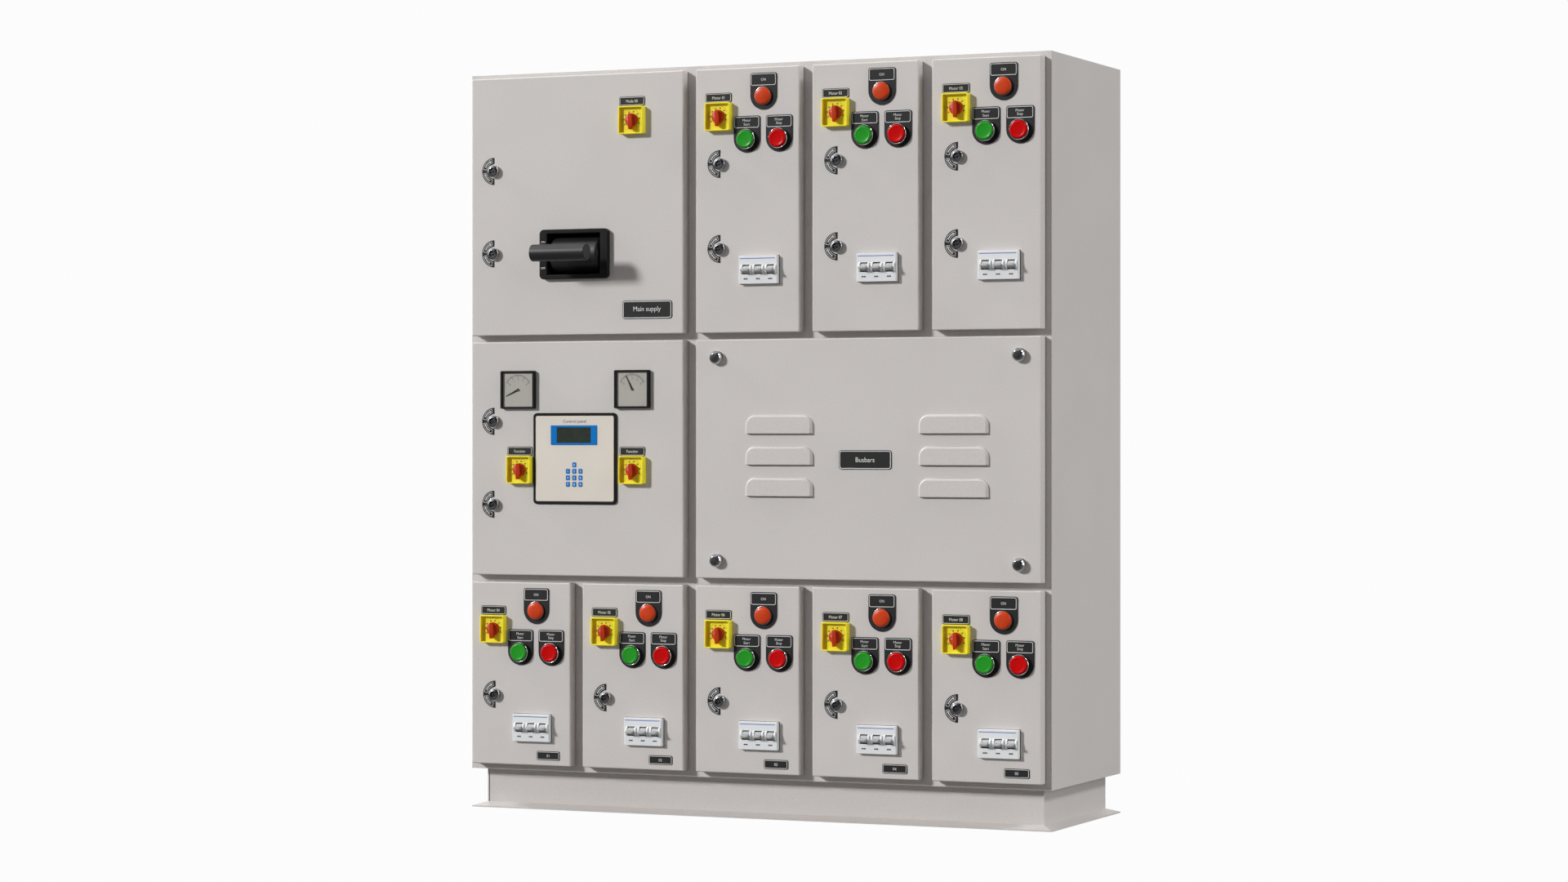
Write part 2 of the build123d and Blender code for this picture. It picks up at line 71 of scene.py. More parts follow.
def material(name, colour, rough=0.45, metal=0.0, spec=0.5, grain=0.0, grain_scale=900.0, tint=0.04, tint_scale=6.0, rough_var=0.06,
             coat=0.0, streak=None, dist=0.0002, wear=0.0, wear_colour=None, speck=0.0):
    """Procedural surface: slow colour variation, roughness variation, fine grain in the normal, optional edge wear by pointiness."""
    m = bpy.data.materials.new(name)
    m.use_nodes = True
    nt = m.node_tree
    bsdf = nt.nodes["Principled BSDF"]
    bsdf.inputs["Metallic"].default_value = metal
    bsdf.inputs["Specular IOR Level"].default_value = spec
    bsdf.inputs["Coat Weight"].default_value = coat
    bsdf.inputs["Coat Roughness"].default_value = 0.12
    co = nt.nodes.new("ShaderNodeTexCoord")
    n1 = nt.nodes.new("ShaderNodeTexNoise")
    n1.inputs["Scale"].default_value = tint_scale
    n1.inputs["Detail"].default_value = 4.0
    src = co.outputs["Object"]
    if streak:
        mp = nt.nodes.new("ShaderNodeMapping")
        mp.inputs["Scale"].default_value = streak
        nt.links.new(src, mp.inputs["Vector"])
        src = mp.outputs["Vector"]
    nt.links.new(src, n1.inputs["Vector"])
    ramp = nt.nodes.new("ShaderNodeValToRGB")
    dark = [c * (1 - tint) for c in colour[:3]] + [1.0]
    light = [min(1.0, c * (1 + tint)) for c in colour[:3]] + [1.0]
    ramp.color_ramp.elements[0].position = 0.3
    ramp.color_ramp.elements[1].position = 0.7
    ramp.color_ramp.elements[0].color = dark
    ramp.color_ramp.elements[1].color = light
    nt.links.new(n1.outputs["Fac"], ramp.inputs["Fac"])
    out = ramp.outputs["Color"]
    n2 = nt.nodes.new("ShaderNodeTexNoise")
    n2.inputs["Scale"].default_value = grain_scale
    n2.inputs["Detail"].default_value = 2.0
    nt.links.new(src, n2.inputs["Vector"])
    if speck > 0:
        sp = nt.nodes.new("ShaderNodeValToRGB")
        sp.color_ramp.elements[0].position = 0.35
        sp.color_ramp.elements[1].position = 0.65
        sp.color_ramp.elements[0].color = [1 - speck] * 3 + [1.0]
        sp.color_ramp.elements[1].color = [1 + speck] * 3 + [1.0]
        nt.links.new(n2.outputs["Fac"], sp.inputs["Fac"])
        mu = nt.nodes.new("ShaderNodeMixRGB")
        mu.blend_type = "MULTIPLY"
        mu.inputs["Fac"].default_value = 1.0
        nt.links.new(out, mu.inputs["Color1"])
        nt.links.new(sp.outputs["Color"], mu.inputs["Color2"])
        out = mu.outputs["Color"]
    if wear > 0:
        geo = nt.nodes.new("ShaderNodeNewGeometry")
        wr = nt.nodes.new("ShaderNodeMapRange")
        wr.inputs["From Min"].default_value = 0.53
        wr.inputs["From Max"].default_value = 0.60
        wr.inputs["To Max"].default_value = wear
        nt.links.new(geo.outputs["Pointiness"], wr.inputs["Value"])
        mx = nt.nodes.new("ShaderNodeMixRGB")
        mx.inputs["Color2"].default_value = wear_colour or light
        nt.links.new(wr.outputs["Result"], mx.inputs["Fac"])
        nt.links.new(out, mx.inputs["Color1"])
        out = mx.outputs["Color"]
    nt.links.new(out, bsdf.inputs["Base Color"])
    rr = nt.nodes.new("ShaderNodeMapRange")
    rr.inputs["To Min"].default_value = max(0.02, rough - rough_var)
    rr.inputs["To Max"].default_value = min(1.0, rough + rough_var)
    nt.links.new(n1.outputs["Fac"], rr.inputs["Value"])
    nt.links.new(rr.outputs["Result"], bsdf.inputs["Roughness"])
    if grain > 0:
        bump = nt.nodes.new("ShaderNodeBump")
        bump.inputs["Strength"].default_value = grain
        bump.inputs["Distance"].default_value = dist
        nt.links.new(n2.outputs["Fac"], bump.inputs["Height"])
        nt.links.new(bump.outputs["Normal"], bsdf.inputs["Normal"])
    return m


PAINT = material("paint_grey", (0.600, 0.568, 0.548, 1), rough=0.42, grain=0.30, grain_scale=620, tint=0.015, tint_scale=5, dist=0.0002, rough_var=0.05, speck=0.05, spec=0.4)
PAINT_IN = material("paint_inner", (0.560, 0.535, 0.515, 1), rough=0.5, grain=0.3, grain_scale=620, tint=0.02, dist=0.0002, speck=0.04, spec=0.3)
ZINC = material("zinc_sheet", (0.62, 0.63, 0.64, 1), rough=0.34, metal=0.9, grain=0.12, grain_scale=60, tint=0.09, tint_scale=38, rough_var=0.12)
STEEL = material("turned_steel", (0.70, 0.70, 0.71, 1), rough=0.24, metal=1.0, grain=0.1, grain_scale=500, tint=0.04, streak=(1, 1, 30), rough_var=0.08)
COPPER = material("copper_bar", (0.78, 0.36, 0.20, 1), rough=0.3, metal=1.0, grain=0.12, grain_scale=300, tint=0.10, tint_scale=14, streak=(0.2, 1, 1), rough_var=0.1)
CHROME = material("chrome_plate", (0.55, 0.55, 0.56, 1), rough=0.13, metal=1.0, grain=0.05, grain_scale=300, tint=0.03, tint_scale=60, rough_var=0.05)
GUNMETAL = material("gunmetal", (0.055, 0.055, 0.058, 1), rough=0.35, metal=1.0, grain=0.15, grain_scale=500, tint=0.10, tint_scale=60, rough_var=0.08)
MARK = material("printed_mark", (0.075, 0.075, 0.08, 1), rough=0.5, grain=0.1, grain_scale=1200, tint=0.05, spec=0.2)
KEY_WHITE = material("key_digit", (0.80, 0.84, 0.88, 1), rough=0.5, grain=0.1, grain_scale=1200, tint=0.02, spec=0.2)
DARK_CHROME = material("dark_chrome", (0.20, 0.20, 0.21, 1), rough=0.22, metal=1.0, grain=0.05, grain_scale=300, tint=0.05, tint_scale=60, rough_var=0.06)
BLACK = material("black_moulding", (0.0085, 0.0085, 0.009, 1), rough=0.36, grain=0.3, grain_scale=900, tint=0.12, tint_scale=30, dist=0.00008, rough_var=0.05, spec=0.13)
BLACK_GRIP = material("black_grip", (0.013, 0.013, 0.014, 1), rough=0.40, grain=0.3, grain_scale=900, tint=0.10, tint_scale=30, dist=0.00008, rough_var=0.05, spec=0.34)
BLACK_SOFT = material("black_label", (0.010, 0.010, 0.011, 1), rough=0.5, grain=0.15, grain_scale=1400, tint=0.10, tint_scale=40, dist=0.0001, spec=0.22)
RUBBER = material("foam_seal", (0.022, 0.022, 0.022, 1), rough=0.85, grain=0.9, grain_scale=700, tint=0.25, tint_scale=120, dist=0.0004, spec=0.2)
WHITE = material("engraved_white", (0.66, 0.66, 0.65, 1), rough=0.5, grain=0.2, grain_scale=1200, tint=0.03, spec=0.2)
YELLOW = material("yellow_escutcheon", srgb(240, 226, 46), rough=0.42, grain=0.15, grain_scale=1100, tint=0.03, tint_scale=40, dist=0.0001, spec=0.25)
RED_KNOB = material("red_knob", srgb(190, 52, 20), rough=0.40, grain=0.15, grain_scale=1100, tint=0.05, tint_scale=60, dist=0.0001, spec=0.3)
GREEN = material("green_cap", srgb(34, 150, 34), rough=0.26, grain=0.10, grain_scale=1000, tint=0.04, tint_scale=60, spec=0.25, dist=0.0001)
RED = material("red_cap", srgb(198, 6, 8), rough=0.26, grain=0.10, grain_scale=1000, tint=0.04, tint_scale=60, spec=0.12, dist=0.0001)
LENS = material("orange_lens", srgb(198, 62, 22), rough=0.30, grain=0.08, grain_scale=600, tint=0.08, tint_scale=80, spec=0.22, dist=0.0001)
DEVICE = material("breaker_white", (0.76, 0.77, 0.78, 1), rough=0.45, grain=0.2, grain_scale=1000, tint=0.02, tint_scale=30, dist=0.0001, spec=0.3)
DEVICE_GREY = material("device_grey", (0.10, 0.105, 0.115, 1), rough=0.5, grain=0.35, grain_scale=800, tint=0.08, tint_scale=30, dist=0.0001, spec=0.3)
DEVICE_LIGHT = material("device_light", (0.40, 0.41, 0.42, 1), rough=0.48, grain=0.3, grain_scale=800, tint=0.05, tint_scale=30, dist=0.0001, spec=0.3)
TOGGLE = material("toggle_grey", (0.46, 0.46, 0.46, 1), rough=0.42, grain=0.25, grain_scale=900, tint=0.05, tint_scale=60, dist=0.0001, spec=0.3)
BLUE_LINE = material("blue_line", srgb(66, 104, 186), rough=0.4, grain=0.1, tint=0.05, spec=0.3)
BEIGE = material("fascia_beige", srgb(222, 214, 203), rough=0.46, grain=0.2, grain_scale=1000, tint=0.015, tint_scale=20, dist=0.0001, spec=0.25)
UNIT_BLUE = material("display_blue", srgb(0, 114, 194), rough=0.42, grain=0.1, tint=0.04, spec=0.10)
KEY_BLUE = material("key_blue", srgb(20, 112, 190), rough=0.40, grain=0.1, tint=0.06, tint_scale=80, spec=0.15)
SCREEN = material("display_glass", srgb(44, 52, 43), rough=0.22, grain=0.0, tint=0.10, tint_scale=120, spec=0.35)
METER_FACE = material("meter_face", srgb(178, 174, 167), rough=0.36, grain=0.1, tint=0.02, tint_scale=20, spec=0.3)
WIRE_ORANGE = material("relay_orange", srgb(205, 96, 30), rough=0.45, grain=0.2, tint=0.05, spec=0.3)
CERAMIC = material("insulator_red", srgb(110, 36, 28), rough=0.4, grain=0.2, tint=0.08, tint_scale=30)

# ------------------------------------------------------------------ mesh building


def rrect(u0, u1, v0, v1, r, n=5):
    """Rounded rectangle, counter-clockwise, 4(n+1) points."""
    r = max(0.01, min(r, (u1 - u0) / 2 - 0.001, (v1 - v0) / 2 - 0.001))
    pts = []
    for cu, cv, a0 in ((u1 - r, v0 + r, -90), (u1 - r, v1 - r, 0), (u0 + r, v1 - r, 90), (u0 + r, v0 + r, 180)):
        for k in range(n + 1):
            a = math.radians(a0 + 90 * k / n)
            pts.append((cu + r * math.cos(a), cv + r * math.sin(a)))
    return pts


def crect(u, v, w, h, r, n=5):
    return rrect(u - w / 2, u + w / 2, v - h / 2, v + h / 2, r, n)


def circle(u, v, r, n=32):
    return [(u + r * math.cos(2 * math.pi * k / n), v + r * math.sin(2 * math.pi * k / n)) for k in range(n)]


def inset(pts, d):
    """Moves each point of a counter-clockwise outline inwards by d."""
    n = len(pts)
    out = []
    for i in range(n):
        ax, ay = pts[i - 1]
        bx_, by_ = pts[i]
        cx_, cy_ = pts[(i + 1) % n]
        e1 = Vector((bx_ - ax, by_ - ay))
        e2 = Vector((cx_ - bx_, cy_ - by_))
        if e1.length < 1e-9 or e2.length < 1e-9:
            out.append((bx_, by_))
            continue
        e1.normalize()
        e2.normalize()
        n1 = Vector((-e1.y, e1.x))
        n2 = Vector((-e2.y, e2.x))
        s = n1 + n2
        if s.length < 1e-6:
            out.append((bx_, by_))
            continue
        s.normalize()
        k = d / max(0.35, s.dot(n1))
        out.append((bx_ + s.x * k, by_ + s.y * k))
    return out


class Piece:
    """A visible piece built from rings. u is right, v is up, w is out of the face, all in mm from the origin given."""

    def __init__(self, name, body, origin=(0, 0, 0), replaces=(), slot=None):
        self.name, self.body, self.o = name, body, origin
        self.v, self.f, self.mi = [], [], []
        self.mats = []
        self.rep = [replaces] if isinstance(replaces, str) else list(replaces)
        self.slot = slot
        self.T = None
        self.flat = set()

    def idx(self, m):
        if m not in self.mats:
            self.mats.append(m)
        return self.mats.index(m)

    def pt(self, u, v, w):
        if self.T is not None:
            u, v, w = self.T @ Vector((u, v, w))
        self.v.append(((self.o[0] + u) * MM, (self.o[1] - w) * MM, (self.o[2] + v) * MM))
        return len(self.v) - 1

    def ring(self, pts, w):
        return [self.pt(u, v, w) for u, v in pts]

    def skin(self, rings, mat, cap0=False, cap1=False, loop=False):
        i = self.idx(mat)
        n = len(rings[0])
        pairs = list(zip(rings, rings[1:]))
        if loop:
            pairs.append((rings[-1], rings[0]))
        for a, b in pairs:
            for j in range(n):
                k = (j + 1) % n
                self.f.append((a[j], a[k], b[k], b[j]))
                self.mi.append(i)
        if cap0:
            self.f.append(tuple(reversed(rings[0])))
            self.mi.append(i)
        if cap1:
            self.f.append(tuple(rings[-1]))
            self.mi.append(i)

    def slab(self, pts, w0, w1, mat, b=0.4, seg=3, back=True, top=None):
        """Prism from w0 to w1 with a rounded front edge."""
        rings = [self.ring(pts, w0), self.ring(pts, w1 - b)]
        for k in range(1, seg + 1):
            a = math.pi / 2 * k / seg
            rings.append(self.ring(inset(pts, b * (1 - math.cos(a))), w1 - b + b * math.sin(a)))
        self.skin(rings, mat, cap0=back, cap1=top is None)
        if top is not None:
            i = self.idx(top)
            self.f.append(tuple(rings[-1]))
            self.mi.append(i)

    def frame(self, outer, inner, w0, w1, mat, b=0.4, seg=3):
        """Closed ring between two outlines with the same number of points."""
        rings = [self.ring(outer, w0), self.ring(outer, w1 - b)]
        for k in range(1, seg + 1):
            a = math.pi / 2 * k / seg
            rings.append(self.ring(inset(outer, b * (1 - math.cos(a))), w1 - b + b * math.sin(a)))
        for k in range(seg, 0, -1):
            a = math.pi / 2 * k / seg
            rings.append(self.ring(inset(inner, -b * (1 - math.cos(a))), w1 - b + b * math.sin(a)))
        rings += [self.ring(inner, w1 - b), self.ring(inner, w0)]
        self.skin(rings, mat, loop=True)

    def lathe(self, u, v, prof, mat, n=36, cap0=True):
        """Turned about the w axis at u, v; prof is (radius, w) from the base outwards to the centre."""
        rings = [self.ring(circle(u, v, max(r, 0.02), n), w) for r, w in prof]
        self.skin(rings, mat, cap0=cap0, cap1=True)

    def box(self, u0, u1, v0, v1, w0, w1, mat, b=0.4, r=0.3, seg=2):
        b = min(b, (w1 - w0) / 2 - 0.01, (u1 - u0) / 2 - 0.02, (v1 - v0) / 2 - 0.02)
        pts = rrect(u0, u1, v0, v1, max(r, b), 3)
        rings = []
        for k in range(seg, 0, -1):
            a = math.pi / 2 * k / seg
            rings.append(self.ring(inset(pts, b * (1 - math.cos(a))), w0 + b - b * math.sin(a)))
        rings += [self.ring(pts, w0 + b), self.ring(pts, w1 - b)]
        for k in range(1, seg + 1):
            a = math.pi / 2 * k / seg
            rings.append(self.ring(inset(pts, b * (1 - math.cos(a))), w1 - b + b * math.sin(a)))
        self.skin(rings, mat, cap0=True, cap1=True)

    def text(self, string, u, v, size, mat, w, thick=0.12, squeeze=1.0):
        c = bpy.data.curves.new("lettering", "FONT")
        c.body = string
        c.size = size
        c.extrude = thick / 2
        c.resolution_u = 3
        c.space_line = 0.95
        c.align_x = "CENTER"
        ob = bpy.data.objects.new("lettering", c)
        bpy.context.scene.collection.objects.link(ob)
        bpy.context.view_layer.update()
        me = bpy.data.meshes.new_from_object(ob)
        bpy.data.objects.remove(ob)
        xs = [p.co.x for p in me.vertices]
        ys = [p.co.y for p in me.vertices]
        cx, cy = (min(xs) + max(xs)) / 2, (min(ys) + max(ys)) / 2
        base = [self.pt(u + (p.co.x - cx) * squeeze, v + p.co.y - cy, w + p.co.z + thick / 2) for p in me.vertices]
        i = self.idx(mat)
        for p in me.polygons:
            self.f.append(tuple(base[k] for k in p.vertices))
            self.mi.append(i)
        bpy.data.meshes.remove(me)

    def done(self, angle=38):
        me = bpy.data.meshes.new(self.name)
        me.from_pydata(self.v, [], self.f)
        for m in self.mats:
            me.materials.append(m)
        me.polygons.foreach_set("material_index", self.mi)
        me.polygons.foreach_set("use_smooth", [k not in self.flat for k in range(len(self.f))])
        me.validate()
        me.set_sharp_from_angle(angle=math.radians(angle))
        me.update()
        ob = bpy.data.objects.new(self.name, me)
        bpy.context.scene.collection.objects.link(ob)
        wn = ob.modifiers.new("weighted", "WEIGHTED_NORMAL")
        wn.keep_sharp = True
        wn.weight = 80
        if self.rep:
            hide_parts(*self.rep)
        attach(ob, self.body)
        return ob


def islands(node):
    """Corner pairs (mm) of each separate solid of a CAD node."""
    me = NODES[node].data
    parent = list(range(len(me.vertices)))

    def find(a):
        while parent[a] != a:
            parent[a] = parent[parent[a]]
            a = parent[a]
        return a
    at = {}
    for i, v in enumerate(me.vertices):
        key = (round(v.co.x, 6), round(v.co.y, 6), round(v.co.z, 6))
        if key in at:
            parent[find(i)] = find(at[key])
        else:
            at[key] = i
    for p in me.polygons:
        r = find(p.vertices[0])
        for k in p.vertices[1:]:
            parent[find(k)] = r
    groups = {}
    for i, v in enumerate(me.vertices):
        g = groups.setdefault(find(i), [[1e9] * 3, [-1e9] * 3])
        for a in range(3):
            g[0][a] = min(g[0][a], v.co[a] * 1000)
            g[1][a] = max(g[1][a], v.co[a] * 1000)
    return sorted(groups.values(), key=lambda g: tuple(round(c, 2) for c in g[0] + g[1]))


# ------------------------------------------------------------------ door fittings, relative to a door's left edge and top


def face_grid(p, w, h, holes, wlev, flip, edge, mat):
    """Flat face of strips round rectangular holes."""
    i = p.idx(mat)
    us = sorted({0.0, w} | {s[0] for s in holes} | {s[1] for s in holes})
    vs = sorted({0.0, h} | {s[2] for s in holes} | {s[3] for s in holes})
    uu = [edge if a == 0.0 else (w - edge if a == w else a) for a in us]
    vv = [edge if a == 0.0 else (h - edge if a == h else a) for a in vs]
    g = [[p.pt(a, b, wlev) for b in vv] for a in uu]
    for ia in range(len(uu) - 1):
        for ib in range(len(vv) - 1):
            mu_, mv_ = (uu[ia] + uu[ia + 1]) / 2, (vv[ib] + vv[ib + 1]) / 2
            if any(s[0] < mu_ < s[1] and s[2] < mv_ < s[3] for s in holes):
                continue
            q = (g[ia][ib], g[ia + 1][ib], g[ia + 1][ib + 1], g[ia][ib + 1])
            p.flat.add(len(p.f))
            p.f.append(q[::-1] if flip else q)
            p.mi.append(i)


def door_pan(p, w, h, holes=()):
    """Folded sheet pan, face at w=0, returns to w=-18, with rolled front edges and rectangular cut-outs."""
    b, n, seg = 2.0, 6, 6
    outer = rrect(0, w, 0, h, b, n)
    inner = rrect(SKIN, w - SKIN, SKIN, h - SKIN, 0.01, n)
    face_grid(p, w, h, holes, 0.0, False, b, PAINT)
    face_grid(p, w, h, holes, -SKIN, True, SKIN, PAINT_IN)
    p.skin([p.ring(inner, -SKIN), p.ring(inner, -18.0)], PAINT_IN)
    rings = [p.ring(inner, -18.0), p.ring(outer, -18.0), p.ring(outer, -b)]
    for k in range(1, seg + 1):
        a = math.pi / 2 * k / seg
        d = b * (1 - math.cos(a))
        rings.append(p.ring(rrect(d, w - d, d, h - d, max(0.01, b - d), n), -b + b * math.sin(a)))
    p.skin(rings, PAINT)
    for s in holes:
        q = rrect(s[0], s[1], s[2], s[3], 0.01, 1)
        p.skin([p.ring(q, 0.0), p.ring(q, -SKIN)], PAINT)


def door_back(p, w, h):
    """Stiffener channels, foam seal and hinge knuckles inside the pan."""
    for a, b in ((3, 9), (w - 24.5, w - 20)):
        p.box(a, b, 3, h - 3, -12.0, -1.5, ZINC, 0.5)
        p.box(a, b, 3, h - 3, -19.5, -12.0, RUBBER, 1.8, 0.3, 3)
    for a, b in ((3, 9), (h - 9, h - 3)):
        p.box(9, w - 24.5, a, b, -12.0, -1.5, ZINC, 0.5)
        p.box(9, w - 24.5, a, b, -19.5, -12.0, RUBBER, 1.8, 0.3, 3)
    for hz in (55.0, h - 55.0):
        # knuckle, a short tube turned about the vertical hinge pin
        T0 = p.T
        p.T = Matrix.Translation((w - 5, hz, -10)) @ Matrix.Rotation(math.radians(-90), 4, "X")
        prof = [(2.55, -7), (3.4, -7), (3.4, 7), (2.55, 7)]
        rings = [p.ring(circle(0, 0, r, 24), ww) for r, ww in prof]
        p.skin(rings, STEEL, loop=True)
        p.T = T0
        p.box(w - 5, w - 1.5, hz - 7, hz + 7, -13.0, -9.6, STEEL, 0.3)


def name_plate(p, u, v, w, h, string, size, squeeze=1.0, lift=1.2, r=3.0, key=0.85):
    """Engraved plate: black, light keyline, light lettering."""
    p.slab(crect(u, v, w, h, r), 0, lift, BLACK_SOFT, 0.35)
    kk = 1.1
    p.frame(crect(u, v, w - 2 * kk, h - 2 * kk, r - 0.8), crect(u, v, w - 2 * kk - 2 * key, h - 2 * kk - 2 * key, max(0.8, r - 0.8 - key)), lift - 0.05, lift + 0.12, WHITE, 0.05, 1)
    if string:
        p.text(string, u, v, size, WHITE, lift, squeeze=squeeze)


def legend_outline(u, v, top):
    """Straight sides, semicircular foot of radius 24, rounded top corners."""
    pts = [(u + 24 * math.cos(math.radians(180 + 180 * k / 24)), v + 24 * math.sin(math.radians(180 + 180 * k / 24))) for k in range(25)]
    for cu, a0 in ((u + 20, 0), (u - 20, 90)):
        for k in range(6):
            a = math.radians(a0 + 90 * k / 5)
            pts.append((cu + 4 * math.cos(a), top - 4 + 4 * math.sin(a)))
    return pts


def legend(p, u, v, top, lines, fh=20.4):
    p.slab(legend_outline(u, v, top), 0, 2.0, BLACK_SOFT, 0.5)
    cv = top - 1.5 - fh / 2
    p.frame(crect(u, cv, 45.2, fh, 3.0), crect(u, cv, 43.2, fh - 2.0, 2.2), 1.95, 2.14, WHITE, 0.05, 1)
    for k, t in enumerate(lines):
        p.text(t, u, cv + (len(lines) - 1) * 3.3 - 6.6 * k, 6.3, WHITE, 2.0, squeeze=0.92)


def fixed_lock_label(p, u, v):
    """Half ring to the left of the barrel with two outlined arrow panels."""
    n = 28
    ro, ri = 23.4, 12.6
    arc = [math.radians(90 + 180 * k / n) for k in range(n + 1)]
    pts = [(u + ro * math.cos(a), v + ro * math.sin(a)) for a in arc] + [(u + ri * math.cos(a), v + ri * math.sin(a)) for a in reversed(arc)]
    p.slab(pts, 0, 0.8, BLACK_SOFT, 0.2, 2)
    for s in (1, -1):
        # outlined panel
        for rr, a0, a1 in ((21.2, 101, 171), (15.0, 104, 169)):
            m = 14
            aa = [math.radians(a0 + (a1 - a0) * k / m) for k in range(m + 1)]
            q = [(u + (rr + 0.35) * math.cos(a), v + s * (rr + 0.35) * math.sin(a)) for a in aa] + [(u + (rr - 0.35) * math.cos(a), v + s * (rr - 0.35) * math.sin(a)) for a in reversed(aa)]
            if s < 0:
                q = q[::-1]
            p.slab(q, 0.78, 0.95, WHITE, 0.04, 1)
        for a in (102.5, 170.0):
            a = math.radians(a)
            d = Vector((math.cos(a), math.sin(a)))
            t = Vector((-d.y, d.x)) * 0.35
            q = [(u + d.x * 15 - t.x, v + s * (d.y * 15 - t.y)), (u + d.x * 21.2 - t.x, v + s * (d.y * 21.2 - t.y)),
                 (u + d.x * 21.2 + t.x, v + s * (d.y * 21.2 + t.y)), (u + d.x * 15 + t.x, v + s * (d.y * 15 + t.y))]
            if s < 0:
                q = q[::-1]
            p.slab(q, 0.78, 0.95, WHITE, 0.04, 1)
        # curved arrow inside the panel
        m = 10
        a0, a1 = (118, 158)
        aa = [math.radians(a0 + (a1 - a0) * k / m) for k in range(m + 1)]
        q = [(u + 18.9 * math.cos(a), v + s * 18.9 * math.sin(a)) for a in aa] + [(u + 17.3 * math.cos(a), v + s * 17.3 * math.sin(a)) for a in reversed(aa)]
        if s < 0:
            q = q[::-1]
        p.slab(q, 0.78, 0.95, WHITE, 0.04, 1)
        at = math.radians(118 if s > 0 else 158)
        sg = -1 if s > 0 else 1
        tip = math.radians((118 - 11) if s > 0 else (158 + 9))
        q = [(u + 20.2 * math.cos(at), v + s * 20.2 * math.sin(at)), (u + 18.1 * math.cos(tip), v + s * 18.1 * math.sin(tip)), (u + 16.0 * math.cos(at), v + s * 16.0 * math.sin(at))]
        area = (q[1][0] - q[0][0]) * (q[2][1] - q[0][1]) - (q[2][0] - q[0][0]) * (q[1][1] - q[0][1])
        if area < 0:
            q = q[::-1]
        p.slab(q, 0.78, 0.95, WHITE, 0.04, 1)


def lock_barrel(p, u, v):
    """Chromed quarter-turn barrel with a dark double-bit socket, and its cam behind the frame."""
    rings = [p.ring(circle(u, v, r, 40), w) for r, w in [(10.5, 0), (10.5, 6.2), (10.3, 6.8), (9.8, 7.2)]]
    p.skin(rings, CHROME, cap0=True)
    rings = [p.ring(circle(u, v, r, 40), w) for r, w in [(9.8, 7.2), (8.2, 8.05), (6.4, 8.8), (6.2, 8.96), (5.9, 9.0)]]
    p.skin(rings, DARK_CHROME)
    rings = [p.ring(circle(u, v, r, 40), w) for r, w in [(5.9, 9.0), (5.4, 8.95), (5.2, 8.4), (5.0, 6.4), (2.2, 6.4)]]
    p.skin(rings, GUNMETAL)
    p.lathe(u, v, [(2.2, 6.4), (2.1, 7.9), (1.7, 8.3), (0.1, 8.4)], GUNMETAL, 20, cap0=False)
    for s in (-1, 1):
        p.box(u + s * 3.2 - 1.5, u + s * 3.2 + 1.5, v - 0.9, v + 0.9, 6.3, 8.0, GUNMETAL, 0.2)
    p.lathe(u, v, [(8.0, -24.0), (8.0, -0.2)], STEEL, 32)
    # hexagonal back nut
    p.slab([(u + 12.5 * math.cos(math.radians(60 * k)), v + 12.5 * math.sin(math.radians(60 * k))) for k in range(6)], -7.0, -1.6, STEEL, 0.3, 1)
    cam = rrect(u - 8, u + 8, v - 42, v + 8, 7.8, 8)
    p.slab(cam, -26.5, -24.0, ZINC, 0.3, 2)
    p.slab([(u + 6.5 * math.cos(math.radians(60 * k)), v + 6.5 * math.sin(math.radians(60 * k))) for k in range(6)], -26.5 + 0.0, -26.4 + 0.0, STEEL, 0.02, 1)


def selector_plate(p, u, v, string, name_dz, name_w=48.0, squeeze=0.9):
    """Escutcheon with a raised rim and a sunk dial."""
    p.frame(crect(u, v, 46, 47.5, 3.0, 6), crect(u, v, 41.2, 42.7, 1.6, 6), 0, 12.0, YELLOW, 0.8, 4)
    p.slab(crect(u, v, 41.6, 43.1, 1.6, 6), 0, 5.5, YELLOW, 0.2, 1)
    for k in range(8):
        # numbers' blocks round the upper arc
        a = math.radians(209 - 33 * k)
        T0 = p.T
        p.T = Matrix.Translation((u + 14.7 * math.cos(a), v + 14.7 * math.sin(a), 0))
        p.box(-1.25, -0.35, -1.15, 1.15, 5.45, 5.65, BLACK_SOFT, 0.04, 0.1, 1)
        p.box(0.15, 1.25, -1.15, 1.15, 5.45, 5.65, BLACK_SOFT, 0.04, 0.1, 1)
        p.T = T0
    for k in range(34):
        a = math.radians(212 - 244 * k / 33)
        T0 = p.T
        p.T = Matrix.Translation((u, v, 0)) @ Matrix.Rotation(a, 4, "Z")
        p.box(17.6, 18.6 if k % 4 else 19.4, -0.22, 0.22, 5.45, 5.6, BLACK_SOFT, 0.03, 0.04, 1)
        p.T = T0
    name_plate(p, u - 2.0, v + name_dz, name_w, 16, string, 6.9, squeeze)
    # switch block behind the door
    p.box(u - 21, u + 21, v - 21, v + 21, -28.0, -1.5, DEVICE_GREY, 1.2, 1.5)
    p.box(u - 19, u + 19, v - 19, v + 19, -49.5, -28.0, DEVICE_LIGHT, 1.0, 1.5)
    for su in (-13, 0, 13):
        for sv in (-16.5, 16.5):
            p.lathe(u + su, v + sv, [(2.6, -49.0), (2.6, -49.2)], STEEL, 12, cap0=True)


